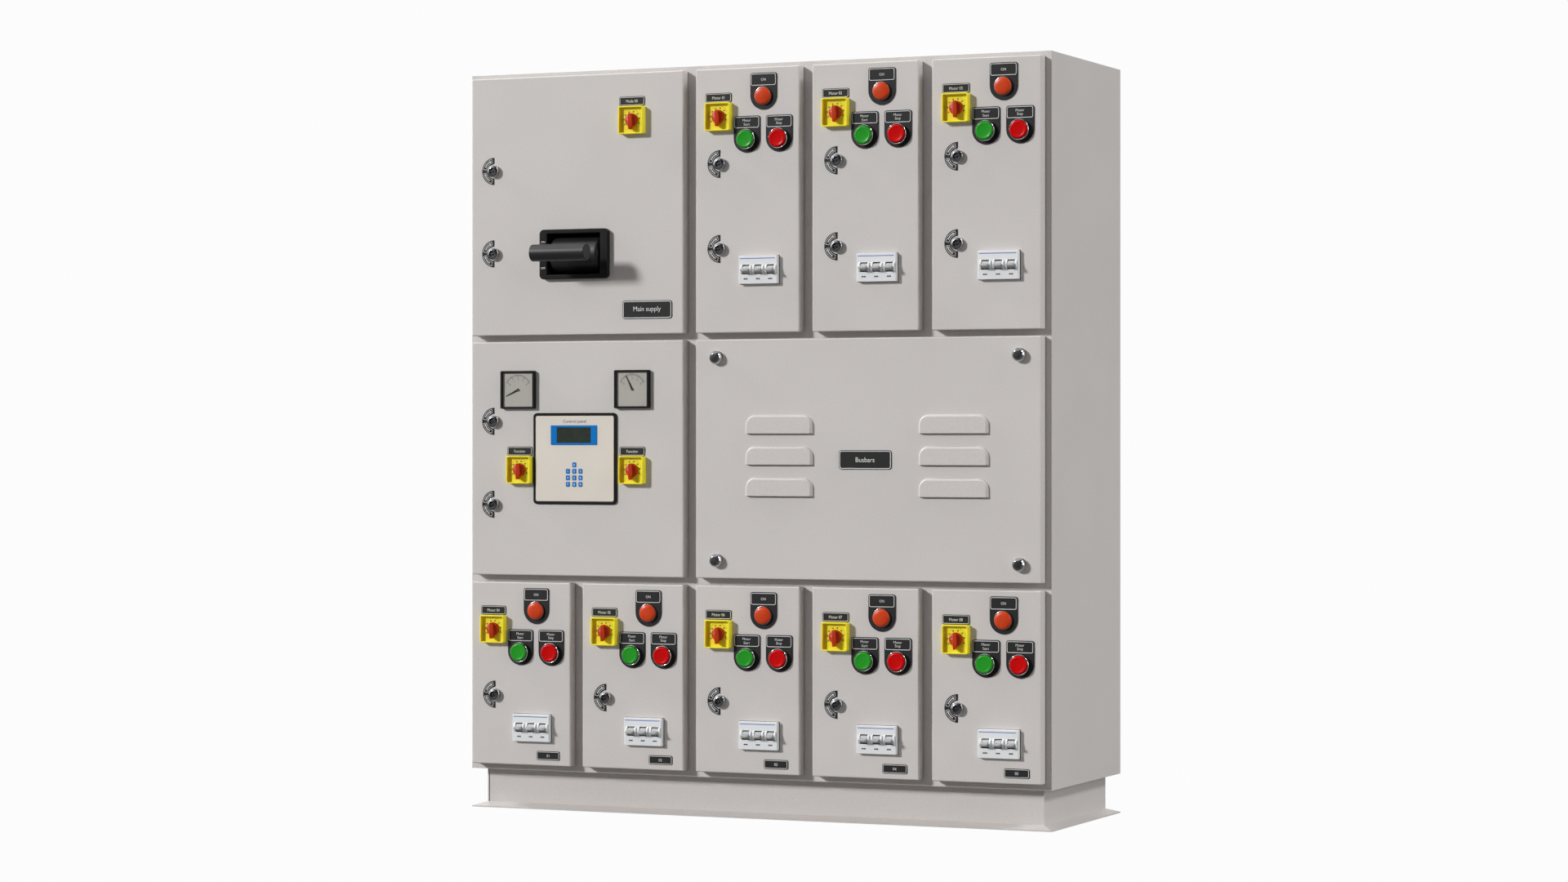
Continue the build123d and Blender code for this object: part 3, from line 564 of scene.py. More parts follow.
def selector_knob(name, body, u, v, origin, slot="red_plastic"):
    p = Piece(name, body, origin, replaces=body, slot=slot)
    p.lathe(u, v, [(11.5, 6.0), (11.5, 8.2), (11.1, 9.5), (10.2, 10.2), (8.0, 10.6), (4.0, 10.9), (0.1, 11.0)], RED_KNOB, 48)
    # grip: narrow ridge with a crest that ends in a pointed tail
    half = ((11.0, 0.5), (10.3, 1.6), (9.0, 2.2), (6.0, 2.8), (2.5, 3.2), (-1.5, 3.5), (-5.5, 3.6), (-9.0, 3.2), (-12.0, 2.3), (-14.8, 1.1), (-16.3, 0.25))
    out = [(u - x, v + y) for y, x in half] + [(u + x, v + y) for y, x in reversed(half)]
    rings = []
    for w, kx, ky in ((7.0, 1.0, 1.0), (12.0, 1.0, 1.0), (15.0, 0.86, 1.0), (17.6, 0.62, 0.99), (19.2, 0.36, 0.97), (19.8, 0.18, 0.94), (19.95, 0.04, 0.90)):
        rings.append(p.ring([(u + (x - u) * kx, v + (y - v) * ky) for x, y in out], w))
    p.skin(rings, RED_KNOB, cap0=True, cap1=True)
    # white index dot on the flange
    p.lathe(u - 5.6, v + 1.0, [(0.8, 10.6), (0.8, 10.95), (0.1, 11.0)], WHITE, 12)
    p.lathe(u, v, [(4.0, -17.5), (4.0, 6.1)], STEEL, 24)
    return p.done()


BTN_DROP = 2.7


def button_base(p, u, v, lines):
    legend(p, u, v - 1.0, v + 36.5, lines, 18.6)
    v -= BTN_DROP
    # bright collar with a dark gap inside
    rings = [p.ring(circle(u, v, r, 56), w) for r, w in ((17.3, 2.0), (17.3, 6.4), (17.1, 7.9), (16.7, 8.75), (16.3, 9.0), (15.9, 8.9), (15.6, 8.4), (15.5, 7.0), (15.5, 2.0))]
    p.skin(rings, CHROME, loop=True)
    # contact block and clamp behind the door
    p.lathe(u, v, [(14.0, -6.0), (14.0, -1.6)], DEVICE_GREY, 28)
    p.box(u - 10, u + 10, v - 22, v + 22, -56.5, -18.5, DEVICE_LIGHT, 1.0, 1.5)
    for s in (-1, 1):
        p.box(u + s * 8.2 - 1.7, u + s * 8.2 + 1.7, v - 22, v + 22, -18.5, -6.0, DEVICE_GREY, 0.5)
        p.lathe(u, v + s * 15, [(3.0, -56.45), (3.0, -56.5)], STEEL, 14)


def button_cap(name, body, u, v, origin, mat, slot):
    p = Piece(name, body, origin, replaces=body, slot=slot)
    v -= BTN_DROP
    prof = [(14.9, 7.0), (14.9, 9.6), (14.7, 10.6), (14.1, 11.4), (13.2, 11.9), (12.2, 12.0), (11.4, 11.85), (10.2, 11.5), (6.0, 11.35), (0.1, 11.3)]
    p.lathe(u, v, prof, mat, 56)
    p.lathe(u, v, [(5.0, -13.5), (5.0, 7.0)], DEVICE_GREY, 20)
    return p.done()


def lamp(p, u, v, string="ON"):
    legend(p, u, v - 0.9, v + 36.6, [string], 19.6)
    v -= 2.1
    p.lathe(u, v, [(16.0, 2.0), (16.0, 3.2), (15.7, 3.8), (15.2, 4.0), (14.6, 3.9)], DARK_CHROME, 48, cap0=False)
    p.lathe(u, v, [(14.5, 3.4), (14.5, 5.4), (14.2, 6.7), (13.4, 7.8), (12.0, 8.6), (9.5, 9.15), (5.5, 9.42), (0.1, 9.5)], LENS, 56)
    p.lathe(u, v, [(14.0, -46.5), (14.0, -1.6)], DEVICE_GREY, 28)
    p.box(u - 9, u + 9, v - 6, v + 6, -46.9, -46.4, STEEL, 0.1)


# ------------------------------------------------------------------ motor doors
BIG = ["incomer_door", "control_door"]
UNIT_NAME = {1: "Motor 04", 2: "Motor 05", 3: "Motor 06", 4: "Motor 07", 5: "Motor 08", 6: "Motor 01", 7: "Motor 02", 8: "Motor 03"}
for n in range(1, 9):
    node = "motor_door_%d" % n
    lo, hi = mmbox(node)
    w, h = hi[0] - lo[0], hi[2] - lo[2]
    o = (lo[0], DF, lo[2])
    blo, bhi = mmbox("breaker_toggle_%d" % n)
    bu = 119.0
    bv = h - (249.5 if n <= 5 else 339.0)
    p = Piece(node + "_panel", node, o, replaces=node, slot="grey_paint")
    door_pan(p, w, h, [(bu - 38, bu + 35.8, bv - 24.1, bv + 24.1)])
    door_back(p, w, h)
    p.done()
    p = Piece(node + "_fittings", node, o, slot="black_plastic")
    lamp(p, 125.5, h - 46.5)
    selector_plate(p, 44.5, h - 81.2, UNIT_NAME[n], 32.2)
    button_base(p, 95.0, h - 117.5, ["Motor", "Start"])
    button_base(p, 154.0, h - 117.5, ["Motor", "Stop"])
    for dz in ([194.0] if n <= 5 else [160.0, 302.5]):
        fixed_lock_label(p, 45.5, h - dz)
        lock_barrel(p, 45.5, h - dz)
    if n <= 5:
        name_plate(p, 148.0, h - 296.75, 44, 15.5, "%02d" % n, 6.6, lift=1.2)
    p.done()
    selector_knob("selector_knob_%d" % n, "selector_%d" % n, 44.5, h - 81.2, o)
    button_cap("start_cap_%d" % n, "start_button_%d" % n, 95.0, h - 117.5, o, GREEN, "green_plastic")
    button_cap("stop_cap_%d" % n, "stop_button_%d" % n, 154.0, h - 117.5, o, RED, "red_plastic")

# ------------------------------------------------------------------ incoming supply door
node = "incomer_door"
lo, hi = mmbox(node)
w, h = hi[0] - lo[0], hi[2] - lo[2]
o = (lo[0], DF, lo[2])
hlo, hhi = mmbox("main_handle")
hu = (hlo[0] + hhi[0]) / 2 - lo[0]
hv = (hlo[2] + hhi[2]) / 2 - lo[2]
p = Piece("incomer_door_panel", node, o, replaces=node, slot="grey_paint")
door_pan(p, w, h, [(hu - 51, hu + 51, hv - 35.5, hv + 35.5)])
door_back(p, w, h)
p.done()
p = Piece("incomer_door_fittings", node, o, slot="black_plastic")
selector_plate(p, 310.0, h - 81.2, "Mode 00", 32.7)
name_plate(p, 336.5, h - 402.3, 93, 31, "Main supply", 11.6, 0.95, r=5.0, key=1.3)
p.frame(crect(hu, hv, 130, 85, 7.5, 6), crect(hu, hv, 101.6, 70.6, 1.0, 6), 0, 9.0, BLACK, 0.9, 4)
p.frame(crect(hu, hv, 101.9, 70.9, 0.8, 6), crect(hu, hv, 101.3, 70.3, 0.6, 6), -2.0, 8.0, BLACK, 0.1, 1)
# handle housing behind the door
for s in (-1, 1):
    a, b = sorted((hu + s * 51.2, hu + s * 54))
    p.box(a, b, hv - 36, hv + 36, -59.5, -1.5, BLACK, 0.4)
p.box(hu - 54, hu + 54, hv - 36, hv + 36, -61.5, -59.5, BLACK, 0.4)
# two engraved position marks beside the opening
p.text("ON", hu - 58, hv + 21, 5.2, WHITE, 9.0)
p.text("OFF", hu - 58, hv - 23.5, 5.2, WHITE, 9.0)
for q in ("upper", "lower"):
    llo, lhi = mmbox("incomer_lock_" + q)
    fixed_lock_label(p, (llo[0] + lhi[0]) / 2 - lo[0], lhi[2] - 10.5 - lo[2])
p.done()
for q in ("upper", "lower"):
    llo, lhi = mmbox("incomer_lock_" + q)
    b = Piece("incomer_lock_barrel_" + q, "incomer_lock_" + q, o, replaces="incomer_lock_" + q, slot="chromed")
    lock_barrel(b, (llo[0] + lhi[0]) / 2 - lo[0], lhi[2] - 10.5 - lo[2])
    b.done()
selector_knob("selector_knob_incomer", "selector_incomer", 310.0, h - 81.2, o)

# main handle: smooth drum with rounded ends and pivot stubs, neck and crossbar
p = Piece("main_handle_grip", "main_handle", o, replaces="main_handle", slot="black_plastic")
ALONG_X = Matrix.Rotation(math.radians(90), 4, "Y")
p.T = Matrix.Translation((hu, hv, -22.0)) @ ALONG_X
DR = 33.0
drum = [(DR * math.cos(2 * math.pi * k / 96), DR * math.sin(2 * math.pi * k / 96)) for k in range(96)]
rings = []
for k in range(9):
    a = math.pi / 2 * k / 8
    rings.append(p.ring(inset(drum, 8.0 * (1 - math.sin(a))), -48.0 + 8.0 * (1 - math.cos(a))))
rings += [p.ring(inset(drum, 0.0), 0.0)]
for k in range(8, -1, -1):
    a = math.pi / 2 * k / 8
    rings.append(p.ring(inset(drum, 8.0 * (1 - math.sin(a))), 48.0 - 8.0 * (1 - math.cos(a))))
p.skin(rings, BLACK_GRIP, cap0=True, cap1=True)
for s in (-1, 1):
    a, b = sorted((s * 48.0, s * 53.5))
    p.lathe(0, 0, [(4.0, a), (4.0, b)], STEEL, 20)
p.T = Matrix.Translation((hu, hv, 60.0)) @ ALONG_X
bar = [(14.5 * math.cos(2 * math.pi * k / 64), 14.5 * math.sin(2 * math.pi * k / 64)) for k in range(64)]
rings = [p.ring(inset(bar, 1.6), -52.0), p.ring(inset(bar, 0.5), -51.5), p.ring(bar, -50.4), p.ring(bar, 50.4), p.ring(inset(bar, 0.5), 51.5), p.ring(inset(bar, 1.6), 52.0)]
p.skin(rings, BLACK_GRIP, cap0=True, cap1=True)
p.T = None
neck = crect(hu, hv, 18, 14, 3.5, 5)
rings = [p.ring(inset(neck, -4.0), 5.5), p.ring(inset(neck, -1.6), 9.0), p.ring(neck, 14.0), p.ring(neck, 42.0), p.ring(inset(neck, -1.2), 47.5)]
p.skin(rings, BLACK, cap0=True, cap1=True)
p.done()

# ------------------------------------------------------------------ control and metering door
node = "control_door"
lo, hi = mmbox(node)
w, h = hi[0] - lo[0], hi[2] - lo[2]
o = (lo[0], DF, lo[2])
p = Piece("control_door_panel", node, o, replaces=node, slot="grey_paint")
door_pan(p, w, h)
door_back(p, w, h)
p.done()
p = Piece("control_door_fittings", node, o, slot="black_plastic")
SELS = ((95.5, 181.1, "left"), (310.5, 181.1, "right"))
for su, sv, s in SELS:
    selector_plate(p, su, sv, "Function", 31.9)
for lv in (264.5, 121.5):
    fixed_lock_label(p, 43.5, lv)
    lock_barrel(p, 43.5, lv)
METERS = ((91.6, 318.5, "left"), (309.6, 318.5, "right"))
for mu, mv, s in METERS:
    p.frame(crect(mu, mv, 66, 65, 2.0), crect(mu, mv, 57.4, 58.0, 0.8), 0, 7.0, BLACK, 0.7, 3)
    p.slab(crect(mu, mv, 58.5, 58.5, 1.0), 0, 3.6, METER_FACE, 0.1, 1)
    # scale: fine and coarse ticks over the top
    for k in range(21):
        a = math.radians(150 - 120 * k / 20)
        T0 = p.T
        p.T = Matrix.Translation((mu, mv, 0)) @ Matrix.Rotation(a, 4, "Z")
        big = k % 5 == 0
        p.box(21.4 if big else 23.0, 25.6, -0.35 if big else -0.2, 0.35 if big else 0.2, 3.58, 3.72, BLACK_SOFT, 0.03, 0.04, 1)
        p.T = T0
    for k in range(24):
        a0, a1 = math.radians(150 - 5 * k), math.radians(150 - 5 * (k + 1))
        q = [(mu + 25.9 * math.cos(a0), mv + 25.9 * math.sin(a0)), (mu + 25.5 * math.cos(a0), mv + 25.5 * math.sin(a0)),
             (mu + 25.5 * math.cos(a1), mv + 25.5 * math.sin(a1)), (mu + 25.9 * math.cos(a1), mv + 25.9 * math.sin(a1))]
        p.slab(q, 3.58, 3.72, BLACK_SOFT, 0.03, 1)
    for k, lab in enumerate(("0", "1", "2", "3", "4")):
        a = math.radians(150 - 30 * k)
        p.text(lab, mu + 18.2 * math.cos(a), mv + 18.2 * math.sin(a), 4.2, BLACK_SOFT, 3.6, 0.1)
    p.lathe(mu, mv, [(1.0, 3.5), (1.0, 5.1)], STEEL, 12)
    p.box(mu - 30, mu + 30, mv - 30, mv + 30, -51.5, -1.5, DEVICE_GREY, 1.5, 2.0)
    for s2 in (-15, 15):
        p.lathe(mu + s2, mv, [(3.0, -51.4), (3.0, -51.5)], STEEL, 14)
# control unit
cu, cv = 200.0, 200.5
p.slab(crect(cu, cv, 159, 156, 7.0, 6), 0, 3.0, BLACK, 0.9, 4)
p.slab(crect(cu, cv, 149, 146, 3.5, 6), 2.0, 3.2, BEIGE, 0.25, 2)
p.text("Control panel", cu, 263.5, 7.6, MARK, 3.2, 0.1, 1.05)
p.frame(crect(198.95, 240.5, 88.3, 33.6, 1.2), crect(198.95, 240.5, 65.0, 26.6, 0.8), 3.15, 4.1, UNIT_BLUE, 0.3, 2)
p.slab(crect(198.95, 240.5, 65.4, 27.0, 0.8), 3.15, 3.65, SCREEN, 0.1, 1)
DIGITS = "1234567890"
KEYS = [(kx, kz) for kz in (178.9, 167.7, 156.5) for kx in (187.4, 199.6, 211.4)] + [(199.6, 189.8)]
for i, (ku, kv) in enumerate(KEYS):
    p.slab(crect(ku, kv, 7.7, 8.5, 1.7, 4), 3.15, 3.85, KEY_BLUE, 0.4, 2)
    p.text(DIGITS[i], ku, kv, 5.4, KEY_WHITE, 3.83, 0.06)
p.box(cu - 71.5, cu + 71.5, cv - 70, cv + 70, -61.5, -1.5, DEVICE_GREY, 2.0, 2.5)
for k in range(12):
    p.box(cu - 60 + 10 * k, cu - 53 + 10 * k, cv - 62, cv - 52, -61.9, -61.4, GREEN, 0.1)
p.done()
for (su, sv, s) in SELS:
    selector_knob("selector_knob_control_" + s, "selector_control_" + s, su, sv, o)
for (mu, mv, s), ang in zip(METERS, (205.0, 116.0)):
    b = Piece("meter_pointer_" + s, "meter_needle_" + s, o, replaces="meter_needle_" + s, slot="needle_black")
    b.T = Matrix.Translation((mu, mv, 0)) @ Matrix.Rotation(math.radians(ang), 4, "Z")
    b.slab([(-2.0, -0.9), (2.5, -1.35), (8.0, -1.1), (25.9, -0.22), (25.9, 0.22), (8.0, 1.1), (2.5, 1.35), (-2.0, 0.9)], 4.35, 5.05, BLACK_SOFT, 0.1, 1)
    rings = [b.ring(circle(0, 0, r, 24), ww) for r, ww in ((1.05, 3.8), (2.1, 3.8), (2.1, 5.3), (1.8, 5.6), (1.05, 5.6))]
    b.skin(rings, BLACK, loop=True)
    b.done()

# ------------------------------------------------------------------ louvred cover
node = "louvred_cover"
lo, hi = mmbox(node)
w, h = hi[0] - lo[0], hi[2] - lo[2]
o = (lo[0], DF, lo[2])
p = Piece("louvred_cover_panel", "cabinet", o, replaces=node, slot="grey_paint")
LOUV = [(lu, lv) for lu in (92.9, 404.3) for lv in (243.3, 191.3, 138.9)]
# face cut into strips round the louvre slots
SL = []
for lu, lv in LOUV:
    SL.append((lu + 3, lu + 119, lv + 2, lv + 18))
door_pan(p, w, h, SL)
# pressed hoods: rounded upper corners, open at the foot
for lu, lv in LOUV:
    hw, hh, r = 61.0, 31.0, 17.0
    cu_, base = lu + hw, lv

    def hood(d, foot):
        pts = [(cu_ + hw - d, foot)]
        rr = max(1.0, r - d)
        for k in range(9):
            a = math.radians(90 * k / 8)
            pts.append((cu_ + hw - d - rr + rr * math.cos(a), base + hh - d - rr + rr * math.sin(a)))
        for k in range(9):
            a = math.radians(90 + 90 * k / 8)
            pts.append((cu_ - hw + d + rr + rr * math.cos(a), base + hh - d - rr + rr * math.sin(a)))
        pts.append((cu_ - hw + d, foot))
        return pts

    prof = [(0.0, 0.0), (0.15, 0.5), (0.7, 2.2), (1.4, 3.9), (2.2, 5.1), (3.2, 5.8), (4.4, 6.0)]
    rows = [[p.pt(x, y, ww) for x, y in hood(d, base)] for d, ww in prof]
    i = p.idx(PAINT)
    for a_, b_ in zip(rows, rows[1:]):
        for j in range(len(a_) - 1):
            p.f.append((a_[j], a_[j + 1], b_[j + 1], b_[j]))
            p.mi.append(i)
    p.f.append(tuple(rows[-1]))
    p.mi.append(i)
    # thickness: inner skin and the rim at the foot
    rin = [[p.pt(x, y, max(-0.3, ww - 1.2)) for x, y in hood(d + (1.2 if ww < 5 else 0.7), base)] for d, ww in prof]
    for a_, b_ in zip(rin, rin[1:]):
        for j in range(len(a_) - 1):
            p.f.append((b_[j], b_[j + 1], a_[j + 1], a_[j]))
            p.mi.append(i)
    p.f.append(tuple(reversed(rin[-1])))
    p.mi.append(i)
    oe = [r_[-1] for r_ in rows] + [r_[0] for r_ in reversed(rows)]
    ie = [r_[-1] for r_ in rin] + [r_[0] for r_ in reversed(rin)]
    for j in range(len(oe) - 1):
        p.f.append((oe[j], oe[j + 1], ie[j + 1], ie[j]))
        p.mi.append(i)
p.done()
p = Piece("louvred_cover_knobs", "cabinet", o, slot="chromed")
for ku, kv in ((39.5, 370.5), (580.0, 370.5), (39.5, 30.0), (580.0, 30.0)):
    rings = [p.ring(circle(ku, kv, r, 44), ww) for r, ww in [(11.5, 0.0), (11.5, 1.4), (10.4, 2.0), (10.4, 3.0), (11.2, 3.8), (11.4, 5.4), (11.2, 7.2), (10.2, 9.2), (9.0, 10.6)]]
    p.skin(rings, CHROME, cap0=True)
    rings = [p.ring(circle(ku, kv, r, 44), ww) for r, ww in [(9.0, 10.6), (8.0, 11.6), (7.0, 12.4), (6.4, 12.8)]]
    p.skin(rings, DARK_CHROME)
    p.lathe(ku, kv, [(6.4, 12.8), (6.1, 13.0), (0.1, 13.0)], GUNMETAL, 44, cap0=False)
    p.lathe(ku, kv, [(4.0, -31.0), (4.0, -1.5)], STEEL, 20)
p.done()
p = Piece("louvred_cover_plate", "cabinet", o, slot="black_plastic")
name_plate(p, 309.0, 199.5, 94, 32, "Busbars", 11.6, 0.95, r=5.0, key=1.3)
p.done()

# ------------------------------------------------------------------ breakers
for n in range(1, 9):
    lo, hi = mmbox("breaker_toggle_%d" % n)
    bx_ = (lo[0] + hi[0]) / 2 - 0.8
    dlo, dhi = mmbox("motor_door_%d" % n)
    h = dhi[2] - dlo[2]
    bz_ = dlo[2] + h - (249.5 if n <= 5 else 339.0)
    o = (bx_, DF, bz_)
    p = Piece("breaker_body_%d" % n, "cabinet", o, replaces="circuit_breakers" if n == 1 else (), slot="device_white")
    UNITS = [0.8 + 22.5 * k for k in (-1, 0, 1)]
    # front plate of the nose, in strips round the three pockets, with rounded outer edges
    hw, hh, pw, ph, pc, be = 35.0, 23.5, 6.7, 8.0, 0.5, 0.9
    HOLES = [(hw + c - pw, hw + c + pw, hh + pc - ph, hh + pc + ph) for c in UNITS]
    o2 = p.o
    p.o = (o2[0] - hw, o2[1], o2[2] - hh)
    face_grid(p, 2 * hw, 2 * hh, HOLES, 8.0, False, be, DEVICE)
    p.o = o2
    rings = [p.ring(crect(0, 0, 70, 47, be, 6), -12.0), p.ring(crect(0, 0, 70, 47, be, 6), 8.0 - be)]
    for k in range(1, 6):
        a = math.pi / 2 * k / 5
        d = be * (1 - math.cos(a))
        rings.append(p.ring(crect(0, 0, 70 - 2 * d, 47 - 2 * d, max(0.01, be - d), 6), 8.0 - be + be * math.sin(a)))
    p.skin(rings, DEVICE)
    for c in UNITS:
        # pocket walls and floor use the darker device_light grey instead of the breaker white: painted shade inside
        # each pocket
        q = crect(c, pc, 2 * pw, 2 * ph, 0.01, 1)
        p.skin([p.ring(q, 8.0), p.ring(q, -3.0)], DEVICE_LIGHT)
        i = p.idx(DEVICE_LIGHT)
        p.f.append(tuple(p.ring(q, -3.0)))
        p.mi.append(i)
        # guard fins: round-backed ribs on both sides of the lever
        for sg in (-1, 1):
            T0 = p.T
            p.T = Matrix.Translation((c + sg * 8.1, pc, 2.0)) @ ALONG_X
            arc = [(10.0 * math.cos(math.radians(a)), 10.0 * math.sin(math.radians(a))) for a in [126.87 + 106.26 * j / 14 for j in range(15)]]
            p.slab(arc + [(-5.0, -8.0), (-5.0, 8.0)], -1.4, 1.4, DEVICE, 0.35, 2)
            p.T = T0
    # shoulder behind the door
    p.box(-35, 35, -45, 45, -61.0, -12.0, DEVICE, 1.2, 1.5)
    # blue stripe, pole lines, marks
    p.box(-33.4, 31.4, 18.5, 19.7, 7.95, 8.12, BLUE_LINE, 0.04, 0.05, 1)
    for c in UNITS:
        p.box(c - 4.3, c - 0.9, -16.2, -13.9, 7.95, 8.12, MARK, 0.04, 0.1, 1)
        p.box(c - 0.5, c + 2.9, -16.2, -13.9, 7.95, 8.12, MARK, 0.04, 0.1, 1)
    # rear terminals' screws on the shoulder
    for k in (-1, 0, 1):
        for s in (-1, 1):
            p.lathe(22.5 * k, s * 36, [(4.2, -12.1), (4.2, -11.6), (3.6, -11.4)], STEEL, 18)
    p.done()
    t = Piece("breaker_levers_%d" % n, "breaker_toggle_%d" % n, o, replaces="breaker_toggle_%d" % n, slot="toggle_grey")
    AX = Matrix.Translation((0.8, 0.5, 5.0))
    t.T = AX @ ALONG_X
    t.lathe(0, 0, [(2.0, -32.0), (2.0, 32.0)], STEEL, 20)
    for k in (-1, 0, 1):
        c = 22.5 * k
        t.T = AX @ ALONG_X
        t.lathe(0, 0, [(5.9, c - 6.2), (6.4, c - 5.7), (6.4, c + 5.7), (5.9, c + 6.2)], TOGGLE, 40)
        t.T = AX @ Matrix.Rotation(math.radians(4), 4, "X")
        # flared paddle with a rounded tip and two grip grooves, the grooves drawn as dark grey strips on the top face:
        # painted shade
        rings = []
        for ww, hw_, hv_ in ((0, 5.8, 3.6), (5.8, 5.8, 3.1), (8.6, 5.9, 2.1), (12.0, 6.1, 1.9), (14.4, 6.2, 2.0), (15.1, 6.0, 1.7), (15.45, 5.5, 1.2)):
            rings.append(t.ring(crect(c, 0, 2 * hw_, 2 * hv_, min(1.1, hv_ - 0.1), 3), ww))
        t.skin(rings, TOGGLE, cap0=True, cap1=True)
        # grip grooves as thin dark grey strips on the paddle's top: painted shade in place of cut grooves
        for g in (10.2, 12.2):
            t.box(c - 4.6, c + 4.6, 1.75, 2.15, g - 0.3, g + 0.3, DEVICE_GREY, 0.05, 0.1, 1)
    t.done()

# main breaker behind the incoming door
big = sorted(islands("circuit_breakers"), key=lambda g: -(g[1][2] - g[0][2]))[0]
lo, hi = big
cxm, czm = (lo[0] + hi[0]) / 2, (lo[2] + hi[2]) / 2
o = (cxm, lo[1], czm)
p = Piece("main_breaker", "cabinet", o, slot="device_grey")
p.box(-70, 70, -128, 128, -103, 0, DEVICE_GREY, 2.5, 3.0)
p.box(-48, 48, -45, 45, 0, 40, BLACK, 2.0, 3.0)
for k in (-1, 0, 1):
    for s in (-1, 1):
        p.lathe(44 * k, s * 108, [(8.5, 0), (8.5, 1.2), (7.6, 1.8)], STEEL, 28)
        p.box(44 * k - 6, 44 * k + 6, s * 108 - 1.0, s * 108 + 1.0, 1.7, 1.9, DEVICE_GREY, 0.05)
        if k < 1:
            p.box(44 * k + 21, 44 * k + 23, s * 108 - 18, s * 108 + 18, 0, 3.0, DEVICE_GREY, 0.4)
p.lathe(0, 0, [(12, 40), (12, 41.5), (5, 42)], STEEL, 24)
p.done()

# ------------------------------------------------------------------ starters, relays, terminals: each block rebuilt in detail from its CAD solid
blocks = islands("starter_gear")
p = Piece("starter_devices", "cabinet", (0, 0, 0), replaces="starter_gear", slot="device_grey")
for lo, hi in blocks:
    w_, d_, h_ = hi[0] - lo[0], hi[1] - lo[1], hi[2] - lo[2]
    u0, u1, v0, v1, w0, w1 = lo[0], hi[0], lo[2], hi[2], -hi[1], -lo[1]
    if d_ < 8.0:      # top-hat rail
        p.box(u0, u1, v0 + 5, v1 - 5, w0, w0 + 1.2, ZINC, 0.2)
        p.box(u0, u1, v0 + 5, v0 + 6.2, w0, w1, ZINC, 0.2)
        p.box(u0, u1, v1 - 6.2, v1 - 5, w0, w1, ZINC, 0.2)
        p.box(u0, u1, v0, v0 + 6, w1 - 1.2, w1, ZINC, 0.2)
        p.box(u0, u1, v1 - 6, v1, w1 - 1.2, w1, ZINC, 0.2)
        continue
    if w_ > 100 and h_ < 40:     # terminal strip
        nterm = int(w_ // 8)
        for k in range(nterm):
            a = u0 + k * w_ / nterm
            p.box(a + 0.2, a + w_ / nterm - 0.2, v0, v1, w0, w1 - 6, DEVICE_LIGHT if k % 4 else WIRE_ORANGE, 0.6)
            p.lathe((a + a + w_ / nterm) / 2, v1 - 9, [(2.4, w1 - 6.0), (2.4, w1 - 5.6)], STEEL, 10)
            p.lathe((a + a + w_ / nterm) / 2, v0 + 9, [(2.4, w1 - 6.0), (2.4, w1 - 5.6)], STEEL, 10)
        continue
    tall = h_ > 70
    body = DEVICE_GREY if tall else DEVICE_LIGHT
    if w_ < 26:
        body = WIRE_ORANGE if int(lo[0]) % 2 else DEVICE_LIGHT
    p.box(u0, u1, v0, v1, w0, w1 - 12, body, 1.4, 1.6)
    p.box(u0 + 4, u1 - 4, v0 + h_ * 0.24, v1 - h_ * 0.24, w1 - 13, w1, body, 1.2, 1.4)
    m = max(1, int(w_ // 14))
    for k in range(m):
        cu_ = u0 + (k + 0.5) * w_ / m
        for vv in (v0 + h_ * 0.12, v1 - h_ * 0.12):
            p.lathe(cu_, vv, [(4.2 if w_ > 26 else 3.0, w1 - 12.0), (4.2 if w_ > 26 else 3.0, w1 - 11.3), (3.2 if w_ > 26 else 2.2, w1 - 11.0)], STEEL, 16)
    if w_ > 30:
        p.box(u0 + 8, u1 - 8, v0 + h_ * 0.40, v0 + h_ * 0.58, w1 - 0.1, w1 + 0.0, WHITE, 0.03, 0.5, 1)
p.done()

# ------------------------------------------------------------------ busbars and supports
p = Piece("busbar_bars", "cabinet", (0, 0, 0), replaces="busbars", slot="copper")
q = Piece("busbar_supports", "cabinet", (0, 0, 0), slot="device_grey")
for lo, hi in islands("busbars"):
    w_, d_, h_ = hi[0] - lo[0], hi[1] - lo[1], hi[2] - lo[2]
    if w_ > 100:
        p.box(lo[0], hi[0], lo[2], hi[2], -hi[1], -lo[1], COPPER, 0.8, 0.8)
        k = 0
        while lo[0] + 35 + 60 * k < hi[0] - 20:
            cu_ = lo[0] + 35 + 60 * k
            hexa = [(cu_ + 7 * math.cos(math.radians(60 * j)), (lo[2] + hi[2]) / 2 + 7 * math.sin(math.radians(60 * j))) for j in range(6)]
            p.slab(hexa, -lo[1], -lo[1] + 5.0, STEEL, 0.6, 2)
            k += 1
    else:
        q.box(lo[0], hi[0], lo[2], hi[2], -hi[1], -lo[1], CERAMIC, 2.0, 3.0)
p.done()
q.done()

# ------------------------------------------------------------------ sheet-metal nodes kept from the CAD
for name, mat, bev in (("cabinet_panels", PAINT, 0.0), ("rear_panel", PAINT, 0.0), ("front_frame", PAINT, 0.0), ("plinth", PAINT, 0.0006),
                       ("mounting_plates", ZINC, 0.0), ("hinge_set", ZINC, 0.0002)):
    ob = NODES[name]
    ob.data.materials.clear()
    ob.data.materials.append(mat)
    if bev:
        m = ob.modifiers.new("edge", "BEVEL")
        m.width = bev
        m.segments = 2
        m.limit_method = "ANGLE"
        m.angle_limit = math.radians(40)
        m.harden_normals = True

